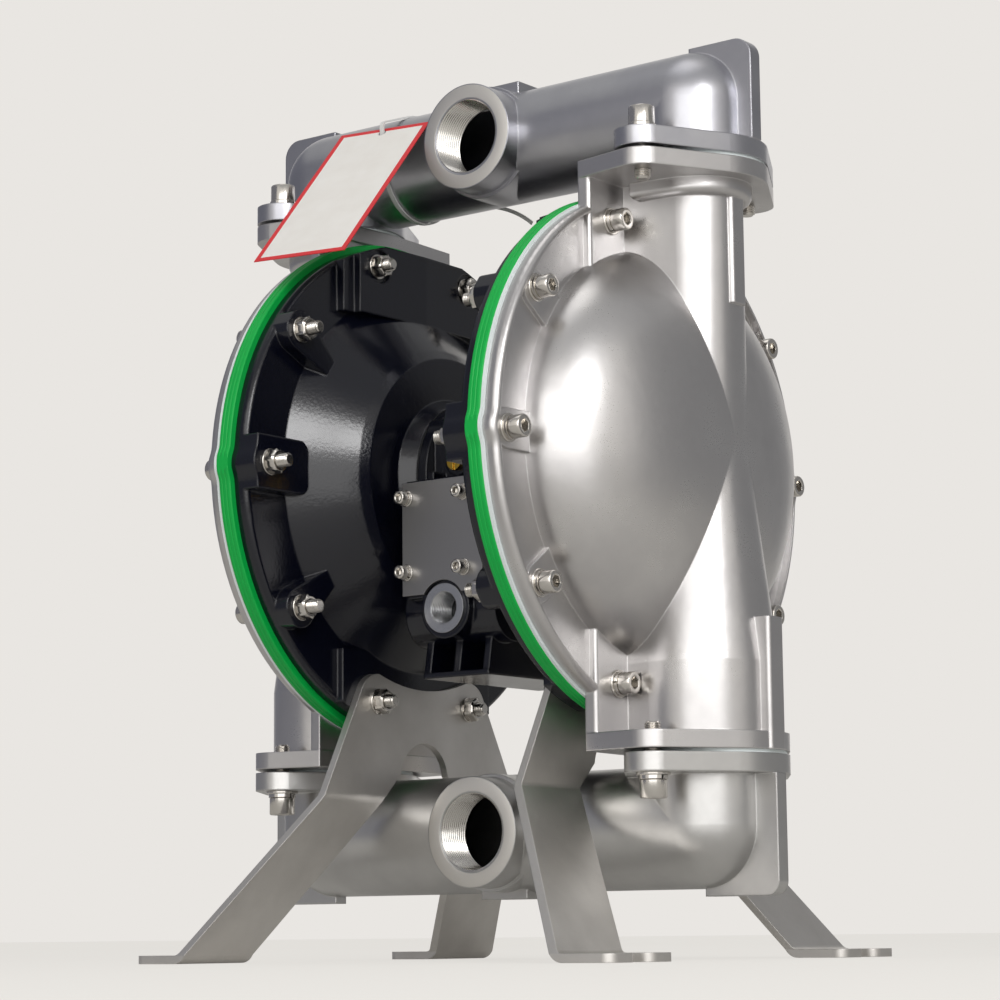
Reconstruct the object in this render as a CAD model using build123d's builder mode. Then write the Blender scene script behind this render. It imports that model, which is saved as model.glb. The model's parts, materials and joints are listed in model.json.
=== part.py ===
from build123d import *

import os
from math import acos, atan2, cos, hypot, radians, sin, sqrt

# Air operated double diaphragm pump with 2 inch ports, in millimetres.
# +X runs along the diaphragm rod, the ports face -Y and +Z is up.
# The origin is on the floor, under the middle of the rod.
os.makedirs("parts", exist_ok=True)

# Heights of the axes and of the joints between covers and manifolds
rod_height = 358.0
top_joint = rod_height + 208.5
bottom_joint = rod_height - 215.5
joint_gap = 2.5
discharge_height = top_joint + 45.5
suction_height = bottom_joint - 50.2

# Clearances
bolt_clearance = 0.5
thread_play = 0.1
press_gap = 0.05
running_play = 0.06
seat_play = 0.1
head_room = 2.2
overrun = 1.0

# Bolted rim of each diaphragm chamber
rim_radius = 193.0
rim_bolt_count = 10
bolt_circle_radius = 175.0
side_lobe_radius = 21.0
side_lobe_blend = 20.0
cap_flange_back = 98.0
cap_flange = 11.0
cap_rim_inset = 4.0
cap_rim_round = 4.0
diaphragm_rim = 11.0
overlay = 2.5
cover_flange = 4.0
cover_rim_inset = 2.0
lip_height = 6.0
lip_width = 5.0
lip_round = 4.5
rim_seat_height = 3.5
rim_seat_radius = 14.0
rim_seat_overlap = 4.0

# Rim screws with their washers and nuts
rim_bolt_radius = 5.0
rim_screw_length = 67.0
rim_head_radius = 8.0
rim_head_height = 10.0
rim_washer_radius = 10.0
rim_washer_thickness = 1.8
rim_spring_radius = 8.6
rim_spring_thickness = 2.8
rim_nut_flats = 16.0
rim_nut_height = 8.0

# Liquid cover
dome_radius = 152.0
dome_depth = 77.0
dome_wall = 7.0
ear_half_width = 80.0
ear_foot = 100.0
ear_round = 3.0
column_x = 170.5
flank_half_width = 39.5
slim_radius = 33.5
wide_radius = 52.0
column_wall = 6.0
ball_chamber_wall = 8.0
cone_top = 2.0
cone_foot = -152.0
chamber_way_radius = 35.0
chamber_way_top = -60.0
collar_height = 12.5
collar_proud = 7.0
collar_back = 142.0
collar_round = 5.5
collar_flank_inset = 2.0
upper_bar_width = 17.0
upper_bar_face = 206.5
upper_bar_length = 90.0
lower_bar_width = 19.0
lower_bar_face = 230.0
lower_bar_length = 80.0
bar_round = 3.0

# Flanges between covers and manifolds, with their screws and washers
flange_bolt_spread = 68.0
flange_lobe_radius = 20.0
upper_flange_radius = 52.5
lower_flange_radius = 58.0
cover_plate = 12.5
manifold_plate = 13.5
gasket_margin = 2.0
flange_bolt_radius = 6.0
flange_screw_length = 40.0
flange_head_radius = 9.0
flange_head_height = 12.0
flange_washer_radius = 12.0
flange_washer_thickness = 2.0
flange_spring_radius = 10.2
flange_spring_thickness = 3.0

# Manifolds
discharge_radius = 41.5
discharge_wall = 6.0
suction_radius = 43.5
suction_wall = 7.5
port_radius = 40.3
port_face = 53.5
port_collar_radius = 43.0
port_collar_face = 31.0
port_thread_radius = 28.6
port_thread_length = 30.0
port_throat_radius = 24.0
web_thickness = 12.0
upper_web_reach = 53.0
upper_web_end = 45.0
upper_web_corner = 14.0
lower_web_reach = 60.5
lower_web_end = 48.8
lower_web_corner = 10.0
pad_half_length = 21.0
pad_half_width = 15.0
pad_top = 48.0

# Ball checks
ball_radius = 25.0
ball_travel = 15.0
ball_play = 0.3
stop_play = 0.3
seat_radius = 38.0
seat_recess = 8.0
seat_bore = 16.5
seat_chamfer = 5.5
guide_count = 4
guide_thickness = 6.0
guide_play = 0.8

# Air cap
cap_wall = 6.0
cone_outer = 148.0
cone_inner = 105.0
cone_face = 62.0
hub_shoulder = 57.0
hub_shoulder_radius = 98.0
hub_radius = 66.0
hub_face = 44.0
hub_face_radius = 60.0
cap_rod_bore = 17.0
nut_seat = 86.5
side_pad_width = 40.0
side_pad_inner = 134.0
side_pad_corner = 8.0
slant_pad_radius = 15.0
slant_pad_tip = 5.0
slant_pad_length = 50.0
apron_half_width = 76.0
apron_top = 183.0
apron_foot = 128.0
apron_ridge = 82.0
apron_edge = 85.0
apron_step = 12.0
apron_step_face = 91.0
spot_face_radius = 13.0

# Centre block with its gaskets and the screws that hold the caps to it
cap_gasket = 1.5
cap_gasket_width = 35.0
cap_bolt_count = 4
cap_bolt_circle = 47.0
cap_bolt_radius = 4.0
cap_bolt_length = 34.0
cap_bolt_head_radius = 6.5
cap_bolt_head_height = 8.0
cap_bolt_hole_spare = 2.0
block_disc = 8.0
block_core_width = 100.0
block_core_height = 88.0
block_core_corner = 10.0
block_core_inset = 1.0
foot_plate = 4.0
foot_half_width = 30.0
foot_depth = 70.0
foot_bottom = -154.0
foot_rib = 6.0
foot_rib_front = -64.5
foot_rib_top = -123.0
chest_radius = 25.0
chest_y = -52.0

# Valve box, its cover plate and the plate's screws
valve_box_half_width = 37.0
valve_box_front = 82.0
valve_box_top = -9.0
valve_box_foot = -96.0
valve_box_corner = 3.0
valve_box_depth = 41.0
plate_gasket = 1.0
plate_thickness = 2.5
plate_top = -10.5
plate_foot = -94.0
plate_arch_radius = 20.5
plate_screw_x = -6.5
plate_screw_spacing_x = 53.0
plate_screw_z = -49.5
plate_screw_spacing_z = 55.0
plate_screw_radius = 3.0
plate_screw_length = 14.0
plate_head_radius = 5.0
plate_head_height = 6.5
plate_washer_radius = 6.2
plate_washer_thickness = 3.2

# Air ports and the brass plug
inlet_z = -105.0
inlet_boss_radius = 22.0
inlet_radius = 18.0
inlet_bore_radius = 12.1
inlet_body_radius = 16.0
inlet_flange = 2.0
inlet_depth = 26.0
exhaust_z = -40.0
exhaust_boss_radius = 25.5
exhaust_bore_radius = 12.1
exhaust_face = 74.0
exhaust_depth = 26.0
exhaust_boss_root = 20.0
plug_z = 4.5
plug_radius = 6.5
plug_face = 71.0
plug_head = 4.0
plug_body_radius = 5.0
plug_body_length = 12.0
plug_slot_width = 1.6
plug_slot_depth = 1.8
plug_boss_radius = 10.5
plug_boss_depth = 35.5

# Diaphragms, their plates and the rod
rod_radius = 12.0
stroke = 20.0
stud_radius = 8.0
stud_length = 31.0
diaphragm_web = 5.0
web_offset = 1.5
clamp_radius = 147.0
convolution_edge = 0.5
convolution_width = 27.0
convolution_rise = 10.0
plate_radius = 104.0
inner_plate = 9.0
inner_plate_chamfer = 3.0
outer_plate_edge = 5.0
outer_plate_dome = 8.0
outer_plate_flat = 40.0
plate_hex_flats = 34.0
plate_hex_height = 8.0
bush_wall = 3.0
bush_length = 16.0
bush_inset = 1.5
seal_width = 4.0

# Air valve and pilot
spool_radius = 14.0
spool_y = -62.0
spool_z = -52.0
spool_travel = 8.0
spool_land = 12.0
spool_land_count = 3
spool_waist = 9.0
sleeve_wall = 3.0
end_plug = 3.5
spool_end_gap = 0.5
pilot_radius = 5.0
pilot_y = -18.0
pilot_z = -44.0
pilot_travel = 6.0
pilot_gap = 0.5
pilot_chamfer = 1.0
pilot_bush_wall = 3.0
pilot_bush_length = 16.0

# Leg brackets
sheet = 6.0
leg_ear_radius = 21.0
saddle_radius = 155.0
fold_height = 120.0
fold_outer = 115.5
fold_inner = 47.5
arch_half_width = 28.0
arch_shoulder = 139.0
arch_crown = 163.0
foot_bend = 169.0
foot_end = 213.5
foot_inner = 108.0
foot_outer = 181.0
foot_corner = 8.0
foot_slot_width = 15.0
foot_slot_start = 190.0
bend_radius = 9.0

# Hang tag and tie
tag_width = 81.0
tag_length = 168.0
tag_thickness = 0.6
tag_x = -89.0
tag_y = -44.5
tag_z = 632.5
tag_tilt = 42.6
tag_yaw = 7.6
tag_roll = 1.8
tag_hole_radius = 3.3
tag_hole_inset = 6.0
tie_width = 3.6
tie_thickness = 1.4
tie_gap = 0.3
tie_eye_radius = 4.3
tie_eye_inset = -0.8

# Planes and heights that follow from the sizes above
cap_face = cap_flange_back + cap_flange
overlay_back = cap_face + diaphragm_rim
cover_back = overlay_back + overlay
cover_face = cover_back + cover_flange
lip_face = cover_face + lip_height
side_seat = cover_face + rim_seat_height
cover_top = top_joint - joint_gap / 2
discharge_joint = top_joint + joint_gap / 2
cover_foot = bottom_joint + joint_gap / 2
suction_joint = bottom_joint - joint_gap / 2
rim_hole = rim_bolt_radius + bolt_clearance
flange_hole = flange_bolt_radius + thread_play
ball_chamber_radius = wide_radius - ball_chamber_wall
seat_thickness = seat_recess + joint_gap - seat_play
inner_hub = hub_shoulder + cap_wall
block_half = hub_face - cap_gasket
core_half = block_half - block_core_inset
cap_bolt_hole_depth = cap_bolt_length - inner_hub + block_half + cap_bolt_hole_spare
rod_bore = rod_radius + bush_wall
web_back = cap_face + web_offset
web_front = web_back + diaphragm_web
convolution_outer = clamp_radius - overlay - convolution_edge
convolution_inner = convolution_outer - convolution_width
plate_front = valve_box_front + plate_gasket + plate_thickness
rod_axis = Axis((0, 0, rod_height), (1, 0, 0))


def across(x, y=0.0, z=0.0):
    """Plane across the rod at x: its own x is +Y, its own y is up."""
    return Plane(origin=(x, y, rod_height + z), x_dir=(0, 1, 0), z_dir=(1, 0, 0))


def front(y, z=0.0):
    """Plane that looks to the front, z above the rod: what it holds grows towards -Y."""
    return Plane(origin=(0, y, rod_height + z), x_dir=(1, 0, 0), z_dir=(0, -1, 0))


def level(z, x=0.0, y=0.0):
    """Level plane at a height above the floor."""
    return Plane(origin=(x, y, z), z_dir=(0, 0, 1))


def keep(piece, name):
    """Labels a finished piece and writes its file."""
    piece.label = name
    export_step(piece, f"parts/{name}.step")


def keep_pair(piece, name):
    """Keeps a right-hand piece, and its mirror image for the left."""
    keep(piece, f"{name}_right")
    keep(mirror(piece, about=Plane.YZ), f"{name}_left")


def touch_point(point, center, radius, side):
    """Where a line from a point touches a circle, on one side (1) or the other (-1)."""
    away_x, away_y = point[0] - center[0], point[1] - center[1]
    turn = atan2(away_y, away_x) + side * acos(radius / hypot(away_x, away_y))
    return center[0] + radius * cos(turn), center[1] + radius * sin(turn)


def column_outline(back, half_width, radius):
    """Round column whose straight flanks run back to the rim."""
    low = touch_point((back, -half_width), (column_x, 0), radius, 1)
    high = touch_point((back, half_width), (column_x, 0), radius, -1)
    with BuildSketch() as outline:
        with BuildLine():
            Polyline(low, (back, -half_width), (back, half_width), high)
            ThreePointArc(high, (column_x + radius, 0), low)
        make_face()
    return outline.sketch


def flange_outline(end_radius, ear=0.0):
    """Two-bolt flange round a column, reaching over the cover's ear where it has one."""
    with BuildSketch() as outline:
        with Locations((column_x, -flange_bolt_spread), (column_x, flange_bolt_spread)):
            Circle(flange_lobe_radius)
        with Locations((column_x, 0)):
            Circle(end_radius)
        if ear:
            with Locations((cover_back, 0)):
                Rectangle(ear, 2 * ear_half_width, align=(Align.MIN, Align.CENTER))
        make_hull()
    return outline.sketch


def rim_outline(inset=0.0):
    """Outline of the rim's layers, with a lobe at each side bolt, blended into the circle."""
    with BuildSketch() as outline:
        Circle(rim_radius - inset)
        with Locations(*side_places):
            Circle(side_lobe_radius - inset)
        fillet(vertices().group_by(lambda corner: round(abs(corner.Y), 3))[-1], side_lobe_blend + inset)
    return outline.sketch


# Places on the bolt circle, each turned so that its own x points outwards
rim_places = list(PolarLocations(bolt_circle_radius, rim_bolt_count))
side_places = [rim_places[n] for n in (0, 5)]
slant_places = [rim_places[n] for n in (1, 4, 6, 9)]
ear_places = [rim_places[n] for n in (2, 3, 7, 8)]
apron_places = [rim_places[n] for n in (2, 3)]
leg_places = [rim_places[n] for n in (7, 8)]
flange_places = [(column_x, -flange_bolt_spread), (column_x, flange_bolt_spread)]
leg_ear_y = leg_places[1].position.X
leg_ear_z = rod_height + leg_places[1].position.Y

rim_plan = rim_outline()
cap_plan = rim_outline(cap_rim_inset)
cover_plan = rim_outline(cover_rim_inset)
lip_plan = rim_outline(cover_rim_inset + lip_width)
ear_thickness = lip_face - cover_back
slim_column = column_outline(cover_back, flank_half_width, slim_radius)
wide_column = column_outline(cover_back, flank_half_width, wide_radius)
collar_half_width = flank_half_width + collar_proud - collar_flank_inset
collar_plan = column_outline(collar_back, collar_half_width, slim_radius + collar_proud)

# Heights of the balls at rest on their seats, and of the stops over them
seat_contact = ball_radius * cos(radians(45))
ball_lift = 2 * seat_contact - seat_bore - seat_chamfer + ball_play * sqrt(2)
suction_ball_z = suction_joint - seat_recess + seat_thickness + ball_lift
discharge_ball_z = cover_top - seat_recess + seat_thickness + ball_lift
suction_stop = suction_ball_z + ball_radius + ball_travel + stop_play
discharge_stop = discharge_ball_z + ball_radius + ball_travel + stop_play


# Liquid cover: rim, dome, upright column and a flange at each end of the column
with BuildPart() as liquid_cover:
    with BuildSketch(level(cover_top - cover_plate - collar_height)):
        add(collar_plan)
    extrude(amount=collar_height)
    fillet(faces().sort_by(Axis.Z)[0].outer_wire().edges(), collar_round)
    with BuildSketch(across(cover_back)):
        add(cover_plan)
    extrude(amount=lip_face - cover_back)
    fillet(faces(Select.LAST).sort_by(Axis.X)[-1].outer_wire().edges(), lip_round)
    with BuildSketch(across(cover_face)):
        add(lip_plan)
    extrude(amount=lip_height + overrun, mode=Mode.SUBTRACT)
    # Ears above and below the dome carry the flanges
    with BuildSketch(level(rod_height + ear_foot)):
        with Locations((cover_back, 0)):
            Rectangle(ear_thickness, 2 * ear_half_width, align=(Align.MIN, Align.CENTER))
        fillet(vertices().group_by(Axis.X)[-1], ear_round)
    extrude(amount=cover_top - rod_height - ear_foot)
    with BuildSketch(level(cover_foot)):
        with Locations((cover_back, 0)):
            Rectangle(ear_thickness, 2 * ear_half_width, align=(Align.MIN, Align.CENTER))
        fillet(vertices().group_by(Axis.X)[-1], ear_round)
    extrude(amount=rod_height - ear_foot - cover_foot)
    # Raised seats under the screw heads run inwards to the dome
    with BuildSketch(across(cover_face)):
        with Locations(*side_places, *slant_places):
            Circle(rim_seat_radius)
            Rectangle(
                bolt_circle_radius - dome_radius + rim_seat_overlap,
                2 * rim_seat_radius,
                align=(Align.MAX, Align.CENTER),
            )
    extrude(amount=rim_seat_height)
    # Dome
    with BuildSketch(front(0)):
        with BuildLine():
            EllipticalCenterArc((cover_face, 0), dome_depth, dome_radius, arc_size=90)
            Polyline((cover_face, dome_radius), (cover_back, dome_radius), (cover_back, 0))
            Line((cover_back, 0), (cover_face + dome_depth, 0))
        make_face()
    revolve(axis=rod_axis)
    # Column: slim above the rod, a cone below it, then the wide chamber of the suction ball
    with BuildSketch(level(rod_height + cone_top)):
        add(slim_column)
    extrude(amount=cover_top - rod_height - cone_top)
    with BuildSketch(level(rod_height + cone_top)):
        add(slim_column)
    with BuildSketch(level(rod_height + cone_foot)):
        add(wide_column)
    loft(ruled=True)
    with BuildSketch(level(cover_foot)):
        add(wide_column)
    extrude(amount=rod_height + cone_foot - cover_foot)
    # Upright bars on the outer face of the column
    with BuildSketch(level(cover_top - cover_plate - upper_bar_length)):
        with Locations((column_x, 0)):
            Rectangle(upper_bar_face - column_x, upper_bar_width, align=(Align.MIN, Align.CENTER))
        fillet(vertices().group_by(Axis.X)[-1], bar_round)
    extrude(amount=upper_bar_length)
    with BuildSketch(level(cover_foot)):
        with Locations((column_x, 0)):
            Rectangle(lower_bar_face - column_x, lower_bar_width, align=(Align.MIN, Align.CENTER))
        fillet(vertices().group_by(Axis.X)[-1], bar_round)
    extrude(amount=cover_plate + lower_bar_length)
    # Flanges
    with BuildSketch(level(cover_top - cover_plate)):
        add(flange_outline(upper_flange_radius, ear_thickness))
    extrude(amount=cover_plate)
    with BuildSketch(level(cover_foot)):
        add(flange_outline(lower_flange_radius, ear_thickness))
    extrude(amount=cover_plate)
    # Pumping chamber
    with BuildSketch(front(0)):
        with BuildLine():
            EllipticalCenterArc(
                (cover_face, 0), dome_depth - dome_wall, dome_radius - dome_wall, arc_size=90
            )
            Polyline(
                (cover_face, dome_radius - dome_wall),
                (cover_back - overrun, dome_radius - dome_wall),
                (cover_back - overrun, 0),
                (cover_face + dome_depth - dome_wall, 0),
            )
        make_face()
    revolve(axis=rod_axis, mode=Mode.SUBTRACT)
    # Discharge passage, with the recess of its ball seat at the top
    with BuildSketch(level(cover_top, column_x)):
        Circle(slim_radius - column_wall)
    extrude(amount=-(cover_top - rod_height - dome_depth), mode=Mode.SUBTRACT)
    with BuildSketch(level(cover_top, column_x)):
        Circle(seat_radius + press_gap)
    extrude(amount=-seat_recess, mode=Mode.SUBTRACT)
    # Chamber of the suction ball: four guide ribs, and a cross rib that stops the ball
    with BuildSketch(level(cover_foot, column_x)):
        Circle(ball_chamber_radius)
        with PolarLocations(0, guide_count, start_angle=45):
            with Locations((ball_radius + guide_play, 0)):
                Rectangle(
                    ball_chamber_radius,
                    guide_thickness,
                    align=(Align.MIN, Align.CENTER),
                    mode=Mode.SUBTRACT,
                )
    extrude(amount=suction_stop - cover_foot, mode=Mode.SUBTRACT)
    with BuildSketch(level(suction_stop, column_x)):
        Circle(chamber_way_radius)
        Rectangle(2 * chamber_way_radius, guide_thickness, mode=Mode.SUBTRACT)
    extrude(amount=rod_height + chamber_way_top - suction_stop, mode=Mode.SUBTRACT)
    # Room beside the column for the heads of the ear screws
    with BuildSketch(across(lip_face)):
        with Locations(*ear_places):
            Circle(rim_head_radius + head_room)
    extrude(amount=rim_washer_thickness + rim_spring_thickness + rim_head_height, mode=Mode.SUBTRACT)
    # Holes for the rim screws and the flange screws
    with BuildSketch(across(cover_back)):
        with Locations(*rim_places):
            Circle(rim_hole)
    extrude(amount=ear_thickness, mode=Mode.SUBTRACT)
    with BuildSketch(level(cover_top)):
        with Locations(*flange_places):
            Circle(flange_hole)
    extrude(amount=-cover_plate, mode=Mode.SUBTRACT)
    with BuildSketch(level(cover_foot)):
        with Locations(*flange_places):
            Circle(flange_hole)
    extrude(amount=cover_plate, mode=Mode.SUBTRACT)
keep_pair(liquid_cover.part, "liquid_cover")


def cone_radius_inside(x):
    """Radius of the air chamber inside the cap's cone, at x."""
    slope = (cone_outer - cone_inner) / (cap_flange_back - cone_face)
    return cone_inner + (x - cone_face) * slope - cap_wall * sqrt(1 + slope**2)


# Flange of the air cap, rounded on the side of the nuts
with BuildPart() as cap_rim:
    with BuildSketch(across(cap_flange_back)):
        add(cap_plan)
    extrude(amount=cap_flange)
    fillet(faces().sort_by(Axis.X)[0].edges(), cap_rim_round)

# Air cap: flange, cone and hub, with pads and aprons that carry the nuts
with BuildPart() as air_cap:
    # Tapered pads on the slants, square ones at the sides
    for place in slant_places:
        with BuildSketch(across(nut_seat)):
            with Locations(place):
                Circle(slant_pad_radius)
                with Locations((-slant_pad_length, 0)):
                    Circle(slant_pad_tip)
            make_hull()
        extrude(amount=cap_face - nut_seat)
    with BuildSketch(across(nut_seat)):
        with Locations(*side_places):
            with Locations((side_pad_inner - bolt_circle_radius, 0)):
                RectangleRounded(
                    bolt_circle_radius + side_lobe_radius - side_pad_inner + side_pad_corner,
                    side_pad_width,
                    side_pad_corner,
                    align=(Align.MIN, Align.CENTER),
                )
    extrude(amount=cap_face - nut_seat)
    # Upper apron with a shallow ridge, and a step down at each side of it
    with BuildSketch(level(rod_height + apron_foot)):
        with BuildLine():
            Polyline(
                (cap_face, -apron_half_width),
                (apron_edge, -apron_half_width),
                (apron_ridge, 0),
                (apron_edge, apron_half_width),
                (cap_face, apron_half_width),
                close=True,
            )
        make_face()
        with Locations((cap_face, 0)):
            Rectangle(
                cap_face - apron_step_face,
                2 * (apron_half_width + apron_step),
                align=(Align.MAX, Align.CENTER),
            )
    extrude(amount=apron_top - apron_foot)
    # Lower apron, flat where a leg bracket lies on it
    with BuildSketch(level(rod_height - apron_top)):
        with Locations((cap_face, 0)):
            Rectangle(
                cap_face - nut_seat - sheet,
                2 * (apron_half_width + apron_step),
                align=(Align.MAX, Align.CENTER),
            )
    extrude(amount=apron_top - apron_foot)
    # Trimmed to the rim
    with BuildSketch(across(nut_seat - side_lobe_radius)):
        add(cap_plan)
    extrude(amount=cap_face, mode=Mode.INTERSECT)
    add(cap_rim.part)
    with BuildSketch(front(0)):
        with BuildLine():
            Polyline(
                (cap_face, 0),
                (cap_face, cone_outer),
                (cap_flange_back, cone_outer),
                (cone_face, cone_inner),
                (hub_shoulder, hub_shoulder_radius),
                (hub_shoulder, hub_radius),
                (hub_face, hub_face_radius),
                (hub_face, 0),
                close=True,
            )
        make_face()
    revolve(axis=rod_axis)
    # Air chamber
    with BuildSketch(front(0)):
        with BuildLine():
            Polyline(
                (cap_face + overrun, 0),
                (cap_face + overrun, cone_radius_inside(cap_face)),
                (cap_face, cone_radius_inside(cap_face)),
                (inner_hub, cone_radius_inside(inner_hub)),
                (inner_hub, 0),
                close=True,
            )
        make_face()
    revolve(axis=rod_axis, mode=Mode.SUBTRACT)
    # Bores of the rod, the pilot rod and the screws into the centre block
    with BuildSketch(across(hub_face)):
        Circle(cap_rod_bore)
        with Locations((pilot_y, pilot_z)):
            Circle(pilot_radius + pilot_bush_wall)
        with PolarLocations(cap_bolt_circle, cap_bolt_count, start_angle=45):
            Circle(cap_bolt_radius + bolt_clearance)
    extrude(amount=cap_face, mode=Mode.SUBTRACT)
    # Rim holes, and flat seats for the nuts on the sloping apron
    with BuildSketch(across(hub_face)):
        with Locations(*rim_places):
            Circle(rim_hole)
    extrude(amount=cap_face, mode=Mode.SUBTRACT)
    with BuildSketch(across(nut_seat)):
        with Locations(*apron_places):
            Circle(spot_face_radius)
    extrude(amount=apron_ridge - nut_seat, mode=Mode.SUBTRACT)
keep_pair(air_cap.part, "air_cap")

# Centre block: two discs, a core, the valve box, the port bosses and a ribbed foot
with BuildPart() as center_block:
    with BuildSketch(across(-block_half)):
        Circle(hub_face_radius)
    extrude(amount=block_disc)
    with BuildSketch(across(block_half)):
        Circle(hub_face_radius)
    extrude(amount=-block_disc)
    with BuildSketch(across(-core_half)):
        RectangleRounded(block_core_width, block_core_height, block_core_corner)
    extrude(amount=2 * core_half)
    with BuildSketch(front(-valve_box_front, (valve_box_top + valve_box_foot) / 2)):
        RectangleRounded(2 * valve_box_half_width, valve_box_top - valve_box_foot, valve_box_corner)
    extrude(amount=-valve_box_depth)
    # Air chest along the rod, under the valve box, with the inlet's boss in front
    with BuildSketch(across(-core_half, chest_y, inlet_z)):
        Circle(chest_radius)
    extrude(amount=2 * core_half)
    with BuildSketch(front(-valve_box_front, inlet_z)):
        Circle(inlet_boss_radius)
    extrude(amount=-valve_box_front - chest_y)
    # Foot: a plate on three upright ribs
    with BuildSketch(level(rod_height + foot_bottom)):
        Rectangle(2 * foot_half_width, 2 * foot_depth)
    extrude(amount=foot_plate)
    for x in (-foot_half_width + foot_rib / 2, 0, foot_half_width - foot_rib / 2):
        with BuildSketch(across(x - foot_rib / 2)):
            with BuildLine():
                Polyline(
                    (-foot_depth, foot_bottom),
                    (foot_depth, foot_bottom),
                    (block_core_width / 2, 0),
                    (foot_rib_front, 0),
                    (foot_rib_front, foot_rib_top),
                    close=True,
                )
            make_face()
        extrude(amount=foot_rib)
    # Exhaust boss at the back, brass plug's boss at the front
    with BuildSketch(front(exhaust_face, exhaust_z)):
        Circle(exhaust_boss_radius)
    extrude(amount=exhaust_face - exhaust_boss_root)
    with BuildSketch(front(-plug_face + plug_head, plug_z)):
        Circle(plug_boss_radius)
    extrude(amount=-plug_boss_depth)
    # Bores of the rod, the pilot rod and the valve sleeve
    with BuildSketch(across(-block_half)):
        Circle(rod_bore)
        with Locations((pilot_y, pilot_z)):
            Circle(pilot_radius + pilot_bush_wall)
        with Locations((spool_y, spool_z)):
            Circle(spool_radius + sleeve_wall)
    extrude(amount=2 * block_half, mode=Mode.SUBTRACT)
    # Tapped holes and ports
    for side in (-1, 1):
        with BuildSketch(across(-side * block_half)):
            with PolarLocations(cap_bolt_circle, cap_bolt_count, start_angle=45):
                Circle(cap_bolt_radius + thread_play)
        extrude(amount=side * cap_bolt_hole_depth, mode=Mode.SUBTRACT)
    with BuildSketch(front(-valve_box_front, inlet_z)):
        Circle(inlet_body_radius)
    extrude(amount=-inlet_depth, mode=Mode.SUBTRACT)
    with BuildSketch(front(exhaust_face, exhaust_z)):
        Circle(exhaust_bore_radius)
    extrude(amount=exhaust_depth, mode=Mode.SUBTRACT)
    with BuildSketch(front(-plug_face, plug_z)):
        Circle(plug_body_radius + thread_play)
    extrude(amount=-plug_head - plug_body_length, mode=Mode.SUBTRACT)
    with BuildSketch(front(-valve_box_front, plate_screw_z)):
        with Locations((plate_screw_x, 0)):
            with GridLocations(plate_screw_spacing_x, plate_screw_spacing_z, 2, 2):
                Circle(plate_screw_radius + thread_play)
    extrude(amount=-plate_screw_length, mode=Mode.SUBTRACT)
keep(center_block.part, "center_block")


def manifold(height, joint, radius, wall, flange_radius, web):
    """Tube with an elbow at each end, flanged to the covers, and a threaded port to the front.

    The joint is under the axis on the discharge manifold and over it on the suction manifold.
    web holds the reach, the end and the corner radius of the square web round each elbow.
    """
    up = 1 if height > joint else -1
    bore = radius - wall
    web_reach, web_end, web_corner = web
    plate_end = joint + up * manifold_plate
    with BuildPart() as body:
        with BuildSketch(across(0, 0, height - rod_height)):
            Circle(radius)
        extrude(amount=column_x)
        with Locations((column_x, 0, height)):
            Sphere(radius)
        with BuildSketch(level(joint, column_x)):
            Circle(radius)
        extrude(amount=height - joint)
        with BuildSketch(level(joint)):
            add(flange_outline(flange_radius))
        extrude(amount=plate_end - joint)
        with BuildSketch(front(web_thickness / 2, height - rod_height)):
            with BuildLine():
                FilletPolyline(
                    (column_x, plate_end - height),
                    (column_x + web_reach, plate_end - height),
                    (column_x + web_reach, up * web_end),
                    (column_x, up * web_end),
                    radius=(0, 0, web_corner, 0),
                    close=True,
                )
            make_face()
        extrude(amount=web_thickness)
        mirror(about=Plane.YZ)
        with BuildSketch(front(0, height - rod_height)):
            Circle(port_collar_radius)
        extrude(amount=port_collar_face)
        with BuildSketch(front(0, height - rod_height)):
            Circle(port_radius)
        extrude(amount=port_face)
        with BuildSketch(level(height)):
            Rectangle(2 * pad_half_length, 2 * pad_half_width)
        extrude(amount=up * pad_top)
        # Waterway, and the thread's bore in the port
        with BuildSketch(across(-column_x, 0, height - rod_height)):
            Circle(bore)
        extrude(amount=2 * column_x, mode=Mode.SUBTRACT)
        with Locations((-column_x, 0, height), (column_x, 0, height)):
            Sphere(bore, mode=Mode.SUBTRACT)
        with BuildSketch(level(joint)):
            with Locations((-column_x, 0), (column_x, 0)):
                Circle(bore)
        extrude(amount=height - joint, mode=Mode.SUBTRACT)
        with BuildSketch(front(0, height - rod_height)):
            Circle(port_throat_radius)
        extrude(amount=port_face, mode=Mode.SUBTRACT)
        with BuildSketch(front(-port_face, height - rod_height)):
            Circle(port_thread_radius)
        extrude(amount=-port_thread_length, mode=Mode.SUBTRACT)
        with BuildSketch(level(joint)):
            with GridLocations(2 * column_x, 2 * flange_bolt_spread, 2, 2):
                Circle(flange_bolt_radius + bolt_clearance)
        extrude(amount=plate_end - joint, mode=Mode.SUBTRACT)
    return body.part


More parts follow.
